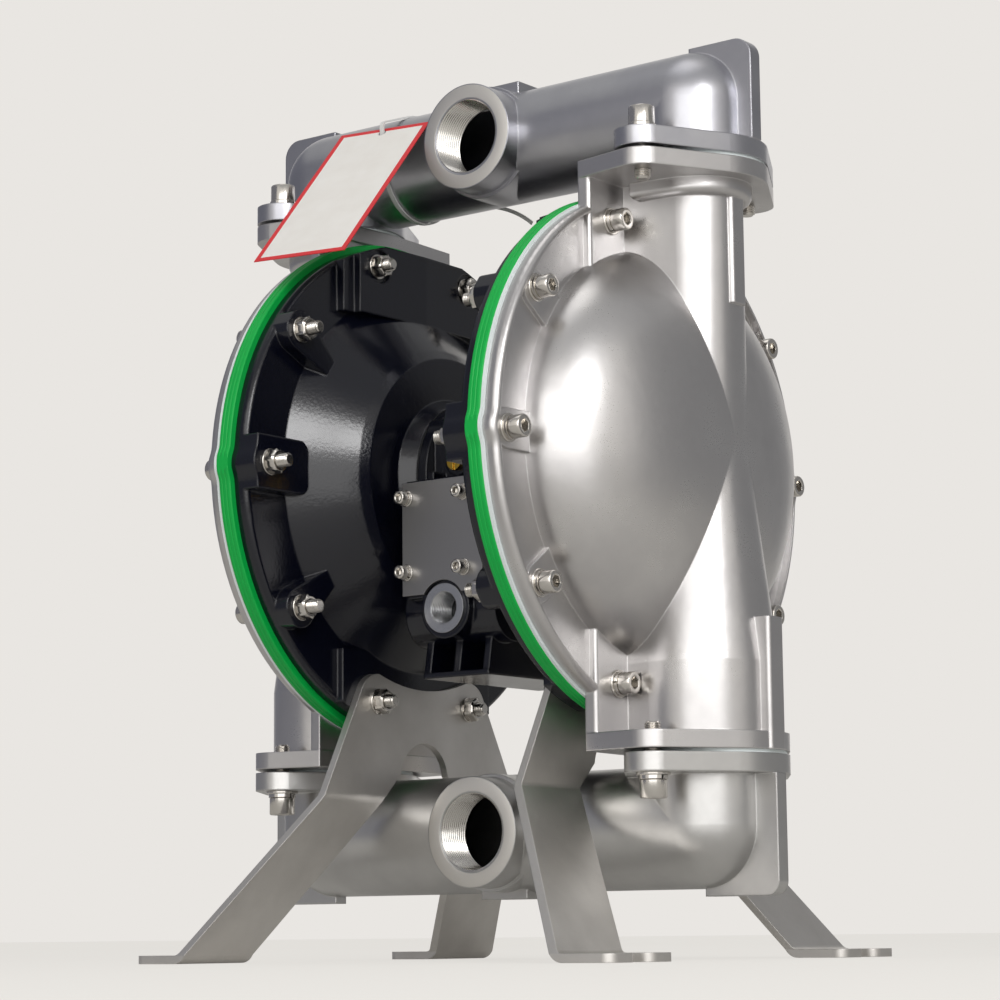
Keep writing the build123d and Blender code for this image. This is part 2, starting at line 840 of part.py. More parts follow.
# Discharge manifold: each elbow holds the guides and the stop of a ball
discharge_body = manifold(
    discharge_height,
    discharge_joint,
    discharge_radius,
    discharge_wall,
    upper_flange_radius,
    (upper_web_reach, upper_web_end, upper_web_corner),
)
discharge_bore = discharge_radius - discharge_wall
with BuildPart() as discharge_manifold:
    add(discharge_body)
    for x in (-column_x, column_x):
        with BuildSketch(level(discharge_joint, x)):
            with PolarLocations(0, guide_count, start_angle=45):
                with Locations((ball_radius + guide_play, 0)):
                    Rectangle(
                        discharge_bore - ball_radius - guide_play + overrun,
                        guide_thickness,
                        align=(Align.MIN, Align.CENTER),
                    )
        extrude(amount=discharge_height - discharge_joint)
    with BuildSketch(front(guide_thickness / 2, discharge_height - rod_height)):
        with Locations((-column_x, 0), (column_x, 0)):
            Circle(discharge_bore + overrun)
            with Locations((0, discharge_stop - discharge_height)):
                Rectangle(
                    2 * discharge_radius,
                    2 * discharge_radius,
                    align=(Align.CENTER, Align.MAX),
                    mode=Mode.SUBTRACT,
                )
    extrude(amount=guide_thickness)
keep(discharge_manifold.part, "discharge_manifold")

# Suction manifold: each top flange holds the seat of a ball
suction_body = manifold(
    suction_height,
    suction_joint,
    suction_radius,
    suction_wall,
    lower_flange_radius,
    (lower_web_reach, lower_web_end, lower_web_corner),
)
with BuildPart() as suction_manifold:
    add(suction_body)
    with BuildSketch(level(suction_joint)):
        with Locations((-column_x, 0), (column_x, 0)):
            Circle(seat_radius + press_gap)
    extrude(amount=-seat_recess, mode=Mode.SUBTRACT)
keep(suction_manifold.part, "suction_manifold")


def ball_seat(top):
    """Seat ring of the right side, chamfered where the ball rests."""
    with BuildPart() as seat:
        with BuildSketch(level(top, column_x)):
            Circle(seat_radius)
            Circle(seat_bore, mode=Mode.SUBTRACT)
        extrude(amount=-seat_thickness)
        mouth = edges().filter_by(GeomType.CIRCLE).group_by(Axis.Z)[-1].sort_by(SortBy.RADIUS)[0]
        chamfer(mouth, seat_chamfer)
    return seat.part


def check_ball(height):
    """Ball of the right side, at rest on its seat."""
    with BuildPart() as ball:
        with Locations((column_x, 0, height)):
            Sphere(ball_radius)
    return ball.part


keep_pair(ball_seat(cover_top - seat_recess + seat_thickness), "discharge_seat")
keep_pair(ball_seat(suction_joint - seat_recess + seat_thickness), "suction_seat")
keep_pair(check_ball(discharge_ball_z), "discharge_ball")
keep_pair(check_ball(suction_ball_z), "suction_ball")

# Gaskets round the seats, between covers and manifolds
with BuildPart() as flange_gaskets:
    with BuildSketch(level(cover_top)):
        with Locations((-column_x, 0), (column_x, 0)):
            Circle(upper_flange_radius - gasket_margin)
            Circle(seat_radius + bolt_clearance, mode=Mode.SUBTRACT)
    extrude(amount=joint_gap)
    with BuildSketch(level(suction_joint)):
        with Locations((-column_x, 0), (column_x, 0)):
            Circle(lower_flange_radius - gasket_margin)
            Circle(ball_chamber_radius, mode=Mode.SUBTRACT)
    extrude(amount=joint_gap)
keep(flange_gaskets.part, "flange_gaskets")


def flange_screws(seat, away):
    """Four cap screws whose heads stand away (up 1, down -1) from a manifold's flange."""
    head = seat + away * (flange_washer_thickness + flange_spring_thickness)
    with BuildPart() as screws:
        with BuildSketch(level(head)):
            with GridLocations(2 * column_x, 2 * flange_bolt_spread, 2, 2):
                Circle(flange_head_radius)
        extrude(amount=away * flange_head_height)
        with BuildSketch(level(head)):
            with GridLocations(2 * column_x, 2 * flange_bolt_spread, 2, 2):
                Circle(flange_bolt_radius)
        extrude(amount=-away * flange_screw_length)
    return screws.part


def flange_washers(seat, away):
    """A flat washer and a spring washer under each of four screw heads."""
    with BuildPart() as washers:
        for radius, start, thickness in (
            (flange_washer_radius, 0, flange_washer_thickness),
            (flange_spring_radius, flange_washer_thickness, flange_spring_thickness),
        ):
            with BuildSketch(level(seat + away * start)):
                with GridLocations(2 * column_x, 2 * flange_bolt_spread, 2, 2):
                    Circle(radius)
                    Circle(flange_hole, mode=Mode.SUBTRACT)
            extrude(amount=away * thickness)
    return washers.part


keep(flange_screws(discharge_joint + manifold_plate, 1), "flange_screws_top")
keep(flange_washers(discharge_joint + manifold_plate, 1), "flange_washers_top")
keep(flange_screws(suction_joint - manifold_plate, -1), "flange_screws_bottom")
keep(flange_washers(suction_joint - manifold_plate, -1), "flange_washers_bottom")

# Rim screws with their washers and nuts: the ears are as high as the lip, the other seats lower
rim_stacks = ((side_seat, side_places + slant_places), (lip_face, ear_places))
with BuildPart() as rim_screws:
    for seat, places in rim_stacks:
        head = seat + rim_washer_thickness + rim_spring_thickness
        with BuildSketch(across(head)):
            with Locations(*places):
                Circle(rim_head_radius)
        extrude(amount=rim_head_height)
        with BuildSketch(across(head)):
            with Locations(*places):
                Circle(rim_bolt_radius)
        extrude(amount=-rim_screw_length)
keep_pair(rim_screws.part, "rim_screws")

with BuildPart() as rim_washers:
    for seat, places in rim_stacks:
        with BuildSketch(across(seat)):
            with Locations(*places):
                Circle(rim_washer_radius)
                Circle(rim_bolt_radius + thread_play, mode=Mode.SUBTRACT)
        extrude(amount=rim_washer_thickness)
keep_pair(rim_washers.part, "rim_washers")

with BuildPart() as rim_spring_washers:
    for seat, places in rim_stacks:
        with BuildSketch(across(seat + rim_washer_thickness)):
            with Locations(*places):
                Circle(rim_spring_radius)
                Circle(rim_bolt_radius + thread_play, mode=Mode.SUBTRACT)
        extrude(amount=rim_spring_thickness)
keep_pair(rim_spring_washers.part, "rim_spring_washers")

with BuildPart() as rim_nuts:
    with BuildSketch(across(nut_seat)):
        with Locations(*rim_places):
            RegularPolygon(rim_nut_flats / 2, 6, major_radius=False)
            Circle(rim_bolt_radius + thread_play, mode=Mode.SUBTRACT)
    extrude(amount=-rim_nut_height)
keep_pair(rim_nuts.part, "rim_nuts")


def web_arc(x):
    """Profile of one face of the diaphragm's web, from the clamped rim to the hub."""
    middle = (convolution_outer + convolution_inner) / 2
    Line((x, clamp_radius), (x, convolution_outer))
    ThreePointArc((x, convolution_outer), (x + convolution_rise, middle), (x, convolution_inner))
    Line((x, convolution_inner), (x, stud_radius + press_gap))


# Diaphragm: clamped rim, one convolution and a flat hub
with BuildPart() as diaphragm:
    with BuildSketch(across(cap_face)):
        add(rim_plan)
        Circle(clamp_radius, mode=Mode.SUBTRACT)
        with Locations(*rim_places):
            Circle(rim_hole, mode=Mode.SUBTRACT)
    extrude(amount=diaphragm_rim)
    with BuildSketch(front(0)):
        with BuildLine():
            web_arc(web_back)
            web_arc(web_front)
            Line((web_back, clamp_radius), (web_front, clamp_radius))
            Line((web_back, stud_radius + press_gap), (web_front, stud_radius + press_gap))
        make_face()
    revolve(axis=rod_axis)
keep_pair(diaphragm.part, "diaphragm")

# Thin overlay on the diaphragm's wet side
with BuildPart() as overlay_diaphragm:
    with BuildSketch(across(overlay_back)):
        add(rim_plan)
        Circle(clamp_radius - overlay, mode=Mode.SUBTRACT)
        with Locations(*rim_places):
            Circle(rim_hole, mode=Mode.SUBTRACT)
    extrude(amount=overlay)
    with BuildSketch(front(0)):
        with BuildLine():
            Polyline(
                (web_front, convolution_outer),
                (web_front, clamp_radius),
                (overlay_back + overlay / 2, clamp_radius),
                (overlay_back + overlay / 2, clamp_radius - overlay),
                (web_front + overlay, clamp_radius - overlay),
                (web_front + overlay, convolution_outer),
            )
            for x in (web_front, web_front + overlay):
                middle = (convolution_outer + convolution_inner) / 2
                ThreePointArc(
                    (x, convolution_outer), (x + convolution_rise, middle), (x, convolution_inner)
                )
                Line((x, convolution_inner), (x, stud_radius + press_gap))
            Line((web_front, stud_radius + press_gap), (web_front + overlay, stud_radius + press_gap))
        make_face()
    revolve(axis=rod_axis)
keep_pair(overlay_diaphragm.part, "overlay_diaphragm")

# Inner and outer plates that clamp the diaphragm on the rod
inner_plate_back = web_back - inner_plate
with BuildPart() as inner_diaphragm_plate:
    with BuildSketch(across(inner_plate_back)):
        Circle(plate_radius)
        Circle(stud_radius + press_gap, mode=Mode.SUBTRACT)
    extrude(amount=inner_plate)
    chamfer(faces().sort_by(Axis.X)[0].outer_wire().edges(), inner_plate_chamfer)
keep_pair(inner_diaphragm_plate.part, "inner_plate")

outer_plate_back = web_front + overlay
with BuildPart() as outer_diaphragm_plate:
    with BuildSketch(front(0)):
        with BuildLine():
            Polyline(
                (outer_plate_back + outer_plate_edge, plate_radius),
                (outer_plate_back, plate_radius),
                (outer_plate_back, 0),
                (outer_plate_back + outer_plate_edge + outer_plate_dome, 0),
                (outer_plate_back + outer_plate_edge + outer_plate_dome, outer_plate_flat),
                close=True,
            )
        make_face()
    revolve(axis=rod_axis)
    with BuildSketch(across(outer_plate_back + outer_plate_edge + outer_plate_dome)):
        RegularPolygon(plate_hex_flats / 2, 6, major_radius=False)
    extrude(amount=plate_hex_height)
    with BuildSketch(across(outer_plate_back)):
        Circle(stud_radius + press_gap)
    extrude(amount=stud_length - outer_plate_back + inner_plate_back + overrun, mode=Mode.SUBTRACT)
keep_pair(outer_diaphragm_plate.part, "outer_plate")

# Rod, with a stud at each end
with BuildPart() as diaphragm_rod:
    with BuildSketch(across(-inner_plate_back)):
        Circle(rod_radius)
    extrude(amount=2 * inner_plate_back)
    with BuildSketch(across(-inner_plate_back - stud_length)):
        Circle(stud_radius)
    extrude(amount=2 * (inner_plate_back + stud_length))
keep(diaphragm_rod.part, "diaphragm_rod")


def ring(outer, inner, start, length, y=0.0, z=0.0):
    """Ring of the right side round a line that runs along the rod."""
    with BuildPart() as body:
        with BuildSketch(across(start, y, z)):
            Circle(outer)
            Circle(inner, mode=Mode.SUBTRACT)
        extrude(amount=length)
    return body.part


bush_start = block_half - bush_inset - bush_length
keep_pair(ring(rod_bore - press_gap, rod_radius + running_play, bush_start, bush_length), "rod_bush")
rod_seal = ring(rod_bore - press_gap, rod_radius + running_play, bush_start - seal_width, seal_width)
with BuildPart() as rod_seals:
    add(rod_seal)
    mirror(about=Plane.YZ)
keep(rod_seals.part, "rod_seals")

# Pilot rod, which the inner plates push, and its bushes in the caps
pilot_bore = pilot_radius + pilot_bush_wall
pilot_bush = ring(
    pilot_bore - press_gap,
    pilot_radius + running_play,
    inner_hub - pilot_bush_length - bush_inset,
    pilot_bush_length,
    pilot_y,
    pilot_z,
)
with BuildPart() as pilot_bushes:
    add(pilot_bush)
    mirror(about=Plane.YZ)
keep(pilot_bushes.part, "pilot_bushes")
pilot_half_length = inner_plate_back - stroke - pilot_travel - pilot_gap
with BuildPart() as pilot_rod:
    with BuildSketch(across(-pilot_half_length, pilot_y, pilot_z)):
        Circle(pilot_radius)
    extrude(amount=2 * pilot_half_length)
    chamfer(edges(), pilot_chamfer)
keep(pilot_rod.part, "pilot_rod")

# Air valve: sleeve, spool and the plugs that close the sleeve's ends
sleeve_bore = spool_radius + running_play
with BuildPart() as valve_sleeve:
    with BuildSketch(across(-valve_box_half_width, spool_y, spool_z)):
        Circle(spool_radius + sleeve_wall - press_gap)
        Circle(sleeve_bore, mode=Mode.SUBTRACT)
    extrude(amount=2 * valve_box_half_width)
keep(valve_sleeve.part, "valve_sleeve")
with BuildPart() as valve_end_plugs:
    with BuildSketch(across(valve_box_half_width, spool_y, spool_z)):
        Circle(sleeve_bore - press_gap)
    extrude(amount=-end_plug)
    mirror(about=Plane.YZ)
keep(valve_end_plugs.part, "valve_end_plugs")
spool_half_length = valve_box_half_width - end_plug - spool_travel - spool_end_gap
spool_gap = (2 * spool_half_length - spool_land_count * spool_land) / (spool_land_count - 1)
with BuildPart() as valve_spool:
    with BuildSketch(across(-spool_half_length, spool_y, spool_z)):
        Circle(spool_waist)
    extrude(amount=2 * spool_half_length)
    for n in range(spool_land_count):
        with BuildSketch(across(-spool_half_length + n * (spool_land + spool_gap), spool_y, spool_z)):
            Circle(spool_radius)
        extrude(amount=spool_land)
keep(valve_spool.part, "valve_spool")

# Gaskets and screws between each cap and the centre block
with BuildPart() as cap_gasket_ring:
    with BuildSketch(across(block_half)):
        Circle(hub_face_radius)
        Circle(hub_face_radius - cap_gasket_width, mode=Mode.SUBTRACT)
        with Locations((pilot_y, pilot_z)):
            Circle(pilot_bore, mode=Mode.SUBTRACT)
        with PolarLocations(cap_bolt_circle, cap_bolt_count, start_angle=45):
            Circle(cap_bolt_radius + bolt_clearance, mode=Mode.SUBTRACT)
    extrude(amount=cap_gasket)
keep_pair(cap_gasket_ring.part, "cap_gasket")
with BuildPart() as cap_bolts:
    with BuildSketch(across(inner_hub)):
        with PolarLocations(cap_bolt_circle, cap_bolt_count, start_angle=45):
            Circle(cap_bolt_head_radius)
    extrude(amount=cap_bolt_head_height)
    with BuildSketch(across(inner_hub)):
        with PolarLocations(cap_bolt_circle, cap_bolt_count, start_angle=45):
            Circle(cap_bolt_radius)
    extrude(amount=-cap_bolt_length)
    mirror(about=Plane.YZ)
keep(cap_bolts.part, "cap_bolts")


def plate_outline():
    """Valve cover plate and its gasket, arched over the inlet, with four screw holes."""
    with BuildSketch() as outline:
        with Locations((0, (plate_top + plate_foot) / 2)):
            Rectangle(2 * valve_box_half_width, plate_top - plate_foot)
        with Locations((0, inlet_z)):
            Circle(plate_arch_radius, mode=Mode.SUBTRACT)
        with Locations((plate_screw_x, plate_screw_z)):
            with GridLocations(plate_screw_spacing_x, plate_screw_spacing_z, 2, 2):
                Circle(plate_screw_radius + bolt_clearance, mode=Mode.SUBTRACT)
    return outline.sketch


plate_plan = plate_outline()
with BuildPart() as valve_cover_gasket:
    with BuildSketch(front(-valve_box_front)):
        add(plate_plan)
    extrude(amount=plate_gasket)
keep(valve_cover_gasket.part, "valve_cover_gasket")
with BuildPart() as valve_cover_plate:
    with BuildSketch(front(-valve_box_front - plate_gasket)):
        add(plate_plan)
    extrude(amount=plate_thickness)
keep(valve_cover_plate.part, "valve_cover_plate")
with BuildPart() as valve_cover_washers:
    with BuildSketch(front(-plate_front, plate_screw_z)):
        with Locations((plate_screw_x, 0)):
            with GridLocations(plate_screw_spacing_x, plate_screw_spacing_z, 2, 2):
                Circle(plate_washer_radius)
                Circle(plate_screw_radius + thread_play, mode=Mode.SUBTRACT)
    extrude(amount=plate_washer_thickness)
keep(valve_cover_washers.part, "valve_cover_washers")
with BuildPart() as valve_cover_screws:
    for radius, length in ((plate_head_radius, plate_head_height), (plate_screw_radius, -plate_screw_length)):
        with BuildSketch(front(-plate_front - plate_washer_thickness, plate_screw_z)):
            with Locations((plate_screw_x, 0)):
                with GridLocations(plate_screw_spacing_x, plate_screw_spacing_z, 2, 2):
                    Circle(radius)
        extrude(amount=length)
keep(valve_cover_screws.part, "valve_cover_screws")

# Steel inlet bushing, flanged over its boss
with BuildPart() as air_inlet_bushing:
    with BuildSketch(front(-valve_box_front, inlet_z)):
        Circle(inlet_radius)
    extrude(amount=inlet_flange)
    with BuildSketch(front(-valve_box_front, inlet_z)):
        Circle(inlet_body_radius - press_gap)
    extrude(amount=-inlet_depth)
    with BuildSketch(front(-valve_box_front - inlet_flange, inlet_z)):
        Circle(inlet_bore_radius)
    extrude(amount=-inlet_depth - inlet_flange, mode=Mode.SUBTRACT)
keep(air_inlet_bushing.part, "air_inlet_bushing")

# Slotted brass plug over the valve box
with BuildPart() as brass_plug:
    with BuildSketch(front(-plug_face + plug_head, plug_z)):
        Circle(plug_radius)
    extrude(amount=plug_head)
    with BuildSketch(front(-plug_face + plug_head, plug_z)):
        Circle(plug_body_radius)
    extrude(amount=-plug_body_length)
    with BuildSketch(front(-plug_face, plug_z)):
        Rectangle(plug_slot_width, 2 * plug_radius)
    extrude(amount=-plug_slot_depth, mode=Mode.SUBTRACT)
keep(brass_plug.part, "brass_plug")

# Leg bracket: one folded sheet, its side profile cut to the outline seen along the rod
with BuildPart() as leg_bracket:
    with BuildSketch(front(foot_outer, -rod_height)):
        with BuildLine():
            FilletPolyline(
                (nut_seat + sheet / 2, leg_ear_z + leg_ear_radius),
                (nut_seat + sheet / 2, fold_height),
                (foot_bend, sheet / 2),
                (foot_end, sheet / 2),
                radius=bend_radius,
            )
        trace(line_width=sheet)
    extrude(amount=2 * foot_outer)
    with BuildSketch(across(nut_seat, 0, -rod_height)):
        shoulder = touch_point((fold_outer, fold_height), (leg_ear_y, leg_ear_z), leg_ear_radius, 1)
        with BuildLine():
            right_edge = Polyline(
                (arch_half_width, arch_shoulder),
                (fold_inner, fold_height),
                (foot_inner, sheet),
                (foot_inner, 0),
                (foot_outer, 0),
                (foot_outer, sheet),
                (fold_outer, fold_height),
                shoulder,
            )
            left_edge = mirror(right_edge, about=Plane.YZ)
            ThreePointArc(
                (-arch_half_width, arch_shoulder), (0, arch_crown), (arch_half_width, arch_shoulder)
            )
            Polyline(
                shoulder,
                (leg_ear_y, leg_ear_z + leg_ear_radius),
                (-leg_ear_y, leg_ear_z + leg_ear_radius),
                (-shoulder[0], shoulder[1]),
            )
        make_face()
        with Locations((-leg_ear_y, leg_ear_z), (leg_ear_y, leg_ear_z)):
            Circle(leg_ear_radius)
            Circle(rim_hole, mode=Mode.SUBTRACT)
        with Locations((0, rod_height)):
            Circle(saddle_radius, mode=Mode.SUBTRACT)
    extrude(amount=foot_end, mode=Mode.INTERSECT)
    # Open slot in each foot, and rounded prongs beside it
    with BuildSketch(level(0)):
        for y in (-(foot_inner + foot_outer) / 2, (foot_inner + foot_outer) / 2):
            with Locations((foot_slot_start + foot_slot_width / 2, y)):
                Circle(foot_slot_width / 2)
                Rectangle(foot_end, foot_slot_width, align=(Align.MIN, Align.CENTER))
    extrude(amount=sheet, mode=Mode.SUBTRACT)
    tips = edges().filter_by(Axis.Z).filter_by(lambda edge: edge.center().X > foot_end - overrun)
    fillet(tips, foot_corner)
keep_pair(leg_bracket.part, "leg_bracket")

# Hang tag, leaning forwards from the eye of its tie
tilt, yaw, roll = radians(tag_tilt), radians(tag_yaw), radians(tag_roll)
tag_plane = Plane(
    origin=(tag_x, tag_y, tag_z),
    x_dir=(cos(yaw), sin(yaw), -sin(roll)),
    z_dir=(sin(yaw) * cos(tilt), -cos(yaw) * cos(tilt), sin(tilt)),
)
with BuildPart() as hang_tag:
    with BuildSketch(tag_plane):
        with Locations((0, tag_hole_inset)):
            Rectangle(tag_width, tag_length, align=(Align.CENTER, Align.MAX))
        Circle(tag_hole_radius, mode=Mode.SUBTRACT)
    extrude(amount=tag_thickness / 2, both=True)
keep(hang_tag.part, "hang_tag")

# Tie round the discharge manifold: its eye goes through the tag's hole and over the tag's edge
eye_reach = tag_hole_inset - tie_eye_inset
eye_y = tag_y + eye_reach * sin(tilt)
eye_z = tag_z + eye_reach * cos(tilt)


def tie_outline(grow):
    """Loop round the manifold's tube and the eye, grown by a thickness."""
    with BuildSketch() as outline:
        Circle(discharge_radius + tie_gap + grow)
        with Locations((eye_y, eye_z - discharge_height)):
            Circle(tie_eye_radius + grow)
        make_hull()
    return outline.sketch


with BuildPart() as tag_tie:
    with BuildSketch(across(tag_x - tie_width / 2, 0, discharge_height - rod_height)):
        add(tie_outline(tie_thickness))
        add(tie_outline(0), mode=Mode.SUBTRACT)
    extrude(amount=tie_width)
keep(tag_tie.part, "tag_tie")
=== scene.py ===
import json
import math

import bmesh
import bpy
from bpy.props import FloatProperty, FloatVectorProperty, IntProperty, PointerProperty
from mathutils import Euler, Matrix, Vector


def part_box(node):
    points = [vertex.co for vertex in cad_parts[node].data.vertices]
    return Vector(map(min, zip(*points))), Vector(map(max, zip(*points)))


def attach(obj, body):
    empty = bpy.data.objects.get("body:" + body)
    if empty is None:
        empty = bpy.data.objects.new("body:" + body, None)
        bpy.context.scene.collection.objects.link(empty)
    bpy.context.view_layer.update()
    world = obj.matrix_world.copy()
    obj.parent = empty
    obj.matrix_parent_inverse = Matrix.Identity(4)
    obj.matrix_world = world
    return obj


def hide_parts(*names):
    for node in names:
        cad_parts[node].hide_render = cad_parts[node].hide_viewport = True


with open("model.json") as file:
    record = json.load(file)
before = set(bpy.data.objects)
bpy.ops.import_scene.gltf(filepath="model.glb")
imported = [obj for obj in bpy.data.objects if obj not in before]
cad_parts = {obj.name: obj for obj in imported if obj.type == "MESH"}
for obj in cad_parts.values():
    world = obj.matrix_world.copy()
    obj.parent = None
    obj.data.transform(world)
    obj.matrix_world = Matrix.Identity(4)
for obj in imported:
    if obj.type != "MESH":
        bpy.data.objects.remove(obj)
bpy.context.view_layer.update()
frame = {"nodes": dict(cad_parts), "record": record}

bl_info = {
    "name": "Diaphragm pump finish",
    "version": (1, 0, 0),
    "blender": (4, 5, 0),
    "location": "View3D > Sidebar > Pump",
    "description": "Dresses the packed frame of an air operated diaphragm pump",
    "category": "Object",
}

NODES = frame["nodes"]
MOUNTS = {mount["name"]: mount for mount in frame["record"]["mounts"]}
MM = 0.001
SIDES = (("right", 1), ("left", -1))

# Either way round by as much as this leaves a fastener at any turn, in radians
ANY_TURN = math.pi


def low(node, axis):
    """Lowest coordinate of a CAD node along an axis, in millimetres."""
    return round(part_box(node)[0]["XYZ".index(axis)] / MM, 3)


def high(node, axis):
    """Highest coordinate of a CAD node along an axis, in millimetres."""
    return round(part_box(node)[1]["XYZ".index(axis)] / MM, 3)


def opening(mount):
    """Middle of a threaded opening's front face, in millimetres."""
    x, y, z = (value / MM for value in MOUNTS[mount]["pos_m"])
    return x, y - MOUNTS[mount]["dims"]["length_mm"] / 2, z


# Places read from the frame, in millimetres
ROD_HEIGHT = (low("diaphragm_rod", "Z") + high("diaphragm_rod", "Z")) / 2
CAP_FACE = high("air_cap_right", "X")
NUT_SEAT = high("rim_nuts_right", "X")
LOW_SEAT = low("rim_washers_right", "X")
TOP_FLANGE = low("flange_washers_top", "Z")
BOTTOM_FLANGE = high("flange_washers_bottom", "Z")
COLUMN_X = (low("discharge_seat_right", "X") + high("discharge_seat_right", "X")) / 2
PLATE_FRONT = low("valve_cover_plate", "Y")
PORT_BORE = MOUNTS["discharge_port"]["dims"]["r_mm"]
INLET_BORE = MOUNTS["air_inlet"]["dims"]["r_mm"]

# Outline of the rims: a circle with a blended lobe at each side
RIM_RADIUS = 193.0
BOLT_CIRCLE = 175.0
LOBE_RADIUS = 21.0
LOBE_BLEND = 20.0
RIM_REACH = BOLT_CIRCLE + LOBE_RADIUS
RIM_COUNT = 10

# Rim seats that are on the ears, which stand 2.5 mm prouder than the others
EAR_PLACES = (2, 3, 7, 8)
EAR_SEAT = LOW_SEAT + 2.5

# Slack between a screw and its washers, in millimetres
WASHER_PLAY = 0.1

# Threads of the openings: where they start and end under the face, the radii of crest, root and outer
# wall, all in millimetres, and the steps round them
PORT_THREAD = {
    "start": -29.0,
    "end": -0.6,
    "crest": PORT_BORE - 1.3,
    "root": PORT_BORE - 0.15,
    "wall": PORT_BORE - 0.04,
    "count": 72,
}
INLET_THREAD = {
    "start": -24.0,
    "end": -0.4,
    "crest": INLET_BORE - 0.9,
    "root": INLET_BORE - 0.15,
    "wall": INLET_BORE - 0.05,
    "count": 48,
}

# Height that the lamps and cards are set about, in metres
MIDDLE_HEIGHT = 0.35

# Lamps: azimuth and elevation in degrees, then distance, width and height in metres
LAMPS = {
    "key": (32.0, 14.0, 3.2, 4.0, 2.4),
    "near": (58.0, 27.0, 3.0, 0.7, 0.8),
    "top": (-20.0, 80.0, 3.0, 1.6, 1.6),
}

# Grey cards that the metal reflects, as the dark parts of a room: the stretch that each takes up in azimuth
# and in elevation, in degrees, and its shade
CARDS = {
    "card_right": (97.0, 186.0, -4.0, 42.0, "#8E8E8F"),
    "card_left": (-118.0, -27.0, -4.0, 42.0, "#7E7F88"),
    "card_high": (-180.0, 180.0, 42.0, 74.0, "#B4B4B4"),
}
CARD_DISTANCE = 5.0

# Turns that set a fastener's own +Z along an axis
AIMS = {
    "+X": (0.0, math.pi / 2, 0.0),
    "-X": (0.0, -math.pi / 2, 0.0),
    "-Y": (math.pi / 2, 0.0, 0.0),
    "+Z": (0.0, 0.0, 0.0),
    "-Z": (math.pi, 0.0, 0.0),
}


# Small tools

def linear(code):
    """Linear colour of an sRGB hex value, with its alpha."""
    parts = [int(code[k:k + 2], 16) / 255 for k in (1, 3, 5)]
    return [c / 12.92 if c <= 0.04045 else ((c + 0.055) / 1.055) ** 2.4 for c in parts] + [1.0]


def add_node(tree, kind, inputs=None, **settings):
    """Adds a node with its settings, and fills or links its inputs."""
    made = tree.nodes.new(kind)
    for name, value in settings.items():
        setattr(made, name, value)
    for key, value in (inputs or {}).items():
        if isinstance(value, bpy.types.NodeSocket):
            tree.links.new(value, made.inputs[key])
        else:
            made.inputs[key].default_value = value
    return made


def grain(size):
    """Noise scale whose cells are this many millimetres across."""
    return 1 / (size * MM)


def colour_of(tint):
    """Linear colour of a hex value, or of a colour that the finish settings name."""
    if tint.startswith("#"):
        return linear(tint)
    return [*getattr(bpy.context.scene.pump_finish, tint), 1.0]


def bearing(turn, lift):
    """Direction at an azimuth from the front and an elevation, in radians."""
    return Vector((math.sin(turn) * math.cos(lift), -math.cos(turn) * math.cos(lift), math.sin(lift)))


def new_material(name):
    """An empty material, with its shader and its Object coordinates."""
    made = bpy.data.materials.new(name)
    made.use_nodes = True
    tree = made.node_tree
    tree.nodes.clear()
    place = add_node(tree, "ShaderNodeTexCoord").outputs["Object"]
    shader = add_node(tree, "ShaderNodeBsdfPrincipled")
    add_node(tree, "ShaderNodeOutputMaterial", {"Surface": shader.outputs["BSDF"]})
    return made, tree, shader, place


def new_piece(name, mesh, replaced=(), material=None):
    """Links a finished mesh as a piece of the pump's body, and hides the CAD nodes that it replaces."""
    piece = bpy.data.objects.new(name, mesh)
    bpy.context.scene.collection.objects.link(piece)
    if material:
        mesh.materials.clear()
        mesh.materials.append(material)
    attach(piece, "pump")
    if replaced:
        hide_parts(*replaced)


def ring_point(angle, radius, flats=0.0):
    """Point of a ring at an angle: round, or a hexagon where flats is given."""
    if flats:
        turn = (angle + math.pi / 6) % (math.pi / 3) - math.pi / 6
        radius = min(flats / 2 / math.cos(turn), radius or flats)
    return radius * math.cos(angle), radius * math.sin(angle)


def skin(form, loops, count):
    """Faces between neighbouring loops of vertices; a loop of one vertex is a pole."""
    for near, far in zip(loops, loops[1:]):
        for k in range(count):
            n = (k + 1) % count
            if len(near) == 1:
                form.faces.new((near[0], far[n], far[k]))
            elif len(far) == 1:
                form.faces.new((near[k], near[n], far[0]))
            else:
                form.faces.new((near[k], near[n], far[n], far[k]))


def capped(form, loops):
    """Closes both ends of a skin that is open."""
    form.faces.new(loops[0])
    form.faces.new(loops[-1])


def finished(form, name):
    """The mesh of a form, with its faces turned outwards."""
    bmesh.ops.recalc_face_normals(form, faces=form.faces)
    mesh = bpy.data.meshes.new(name)
    form.to_mesh(mesh)
    form.free()
    return mesh


def turned(rings, count=24, closed=False):
    """Mesh through rings along +Z: each is (height, radius, flats), in millimetres."""
    form = bmesh.new()
    loops = []
    for height, radius, flats in rings:
        if radius == 0 and not flats:
            loops.append([form.verts.new((0, 0, height * MM))])
            continue
        loop = []
        for k in range(count):
            x, y = ring_point(2 * math.pi * k / count, radius, flats)
            loop.append(form.verts.new((x * MM, y * MM, height * MM)))
        loops.append(loop)
    if closed:
        loops.append(loops[0])
    skin(form, loops, count)
    return finished(form, "turned")


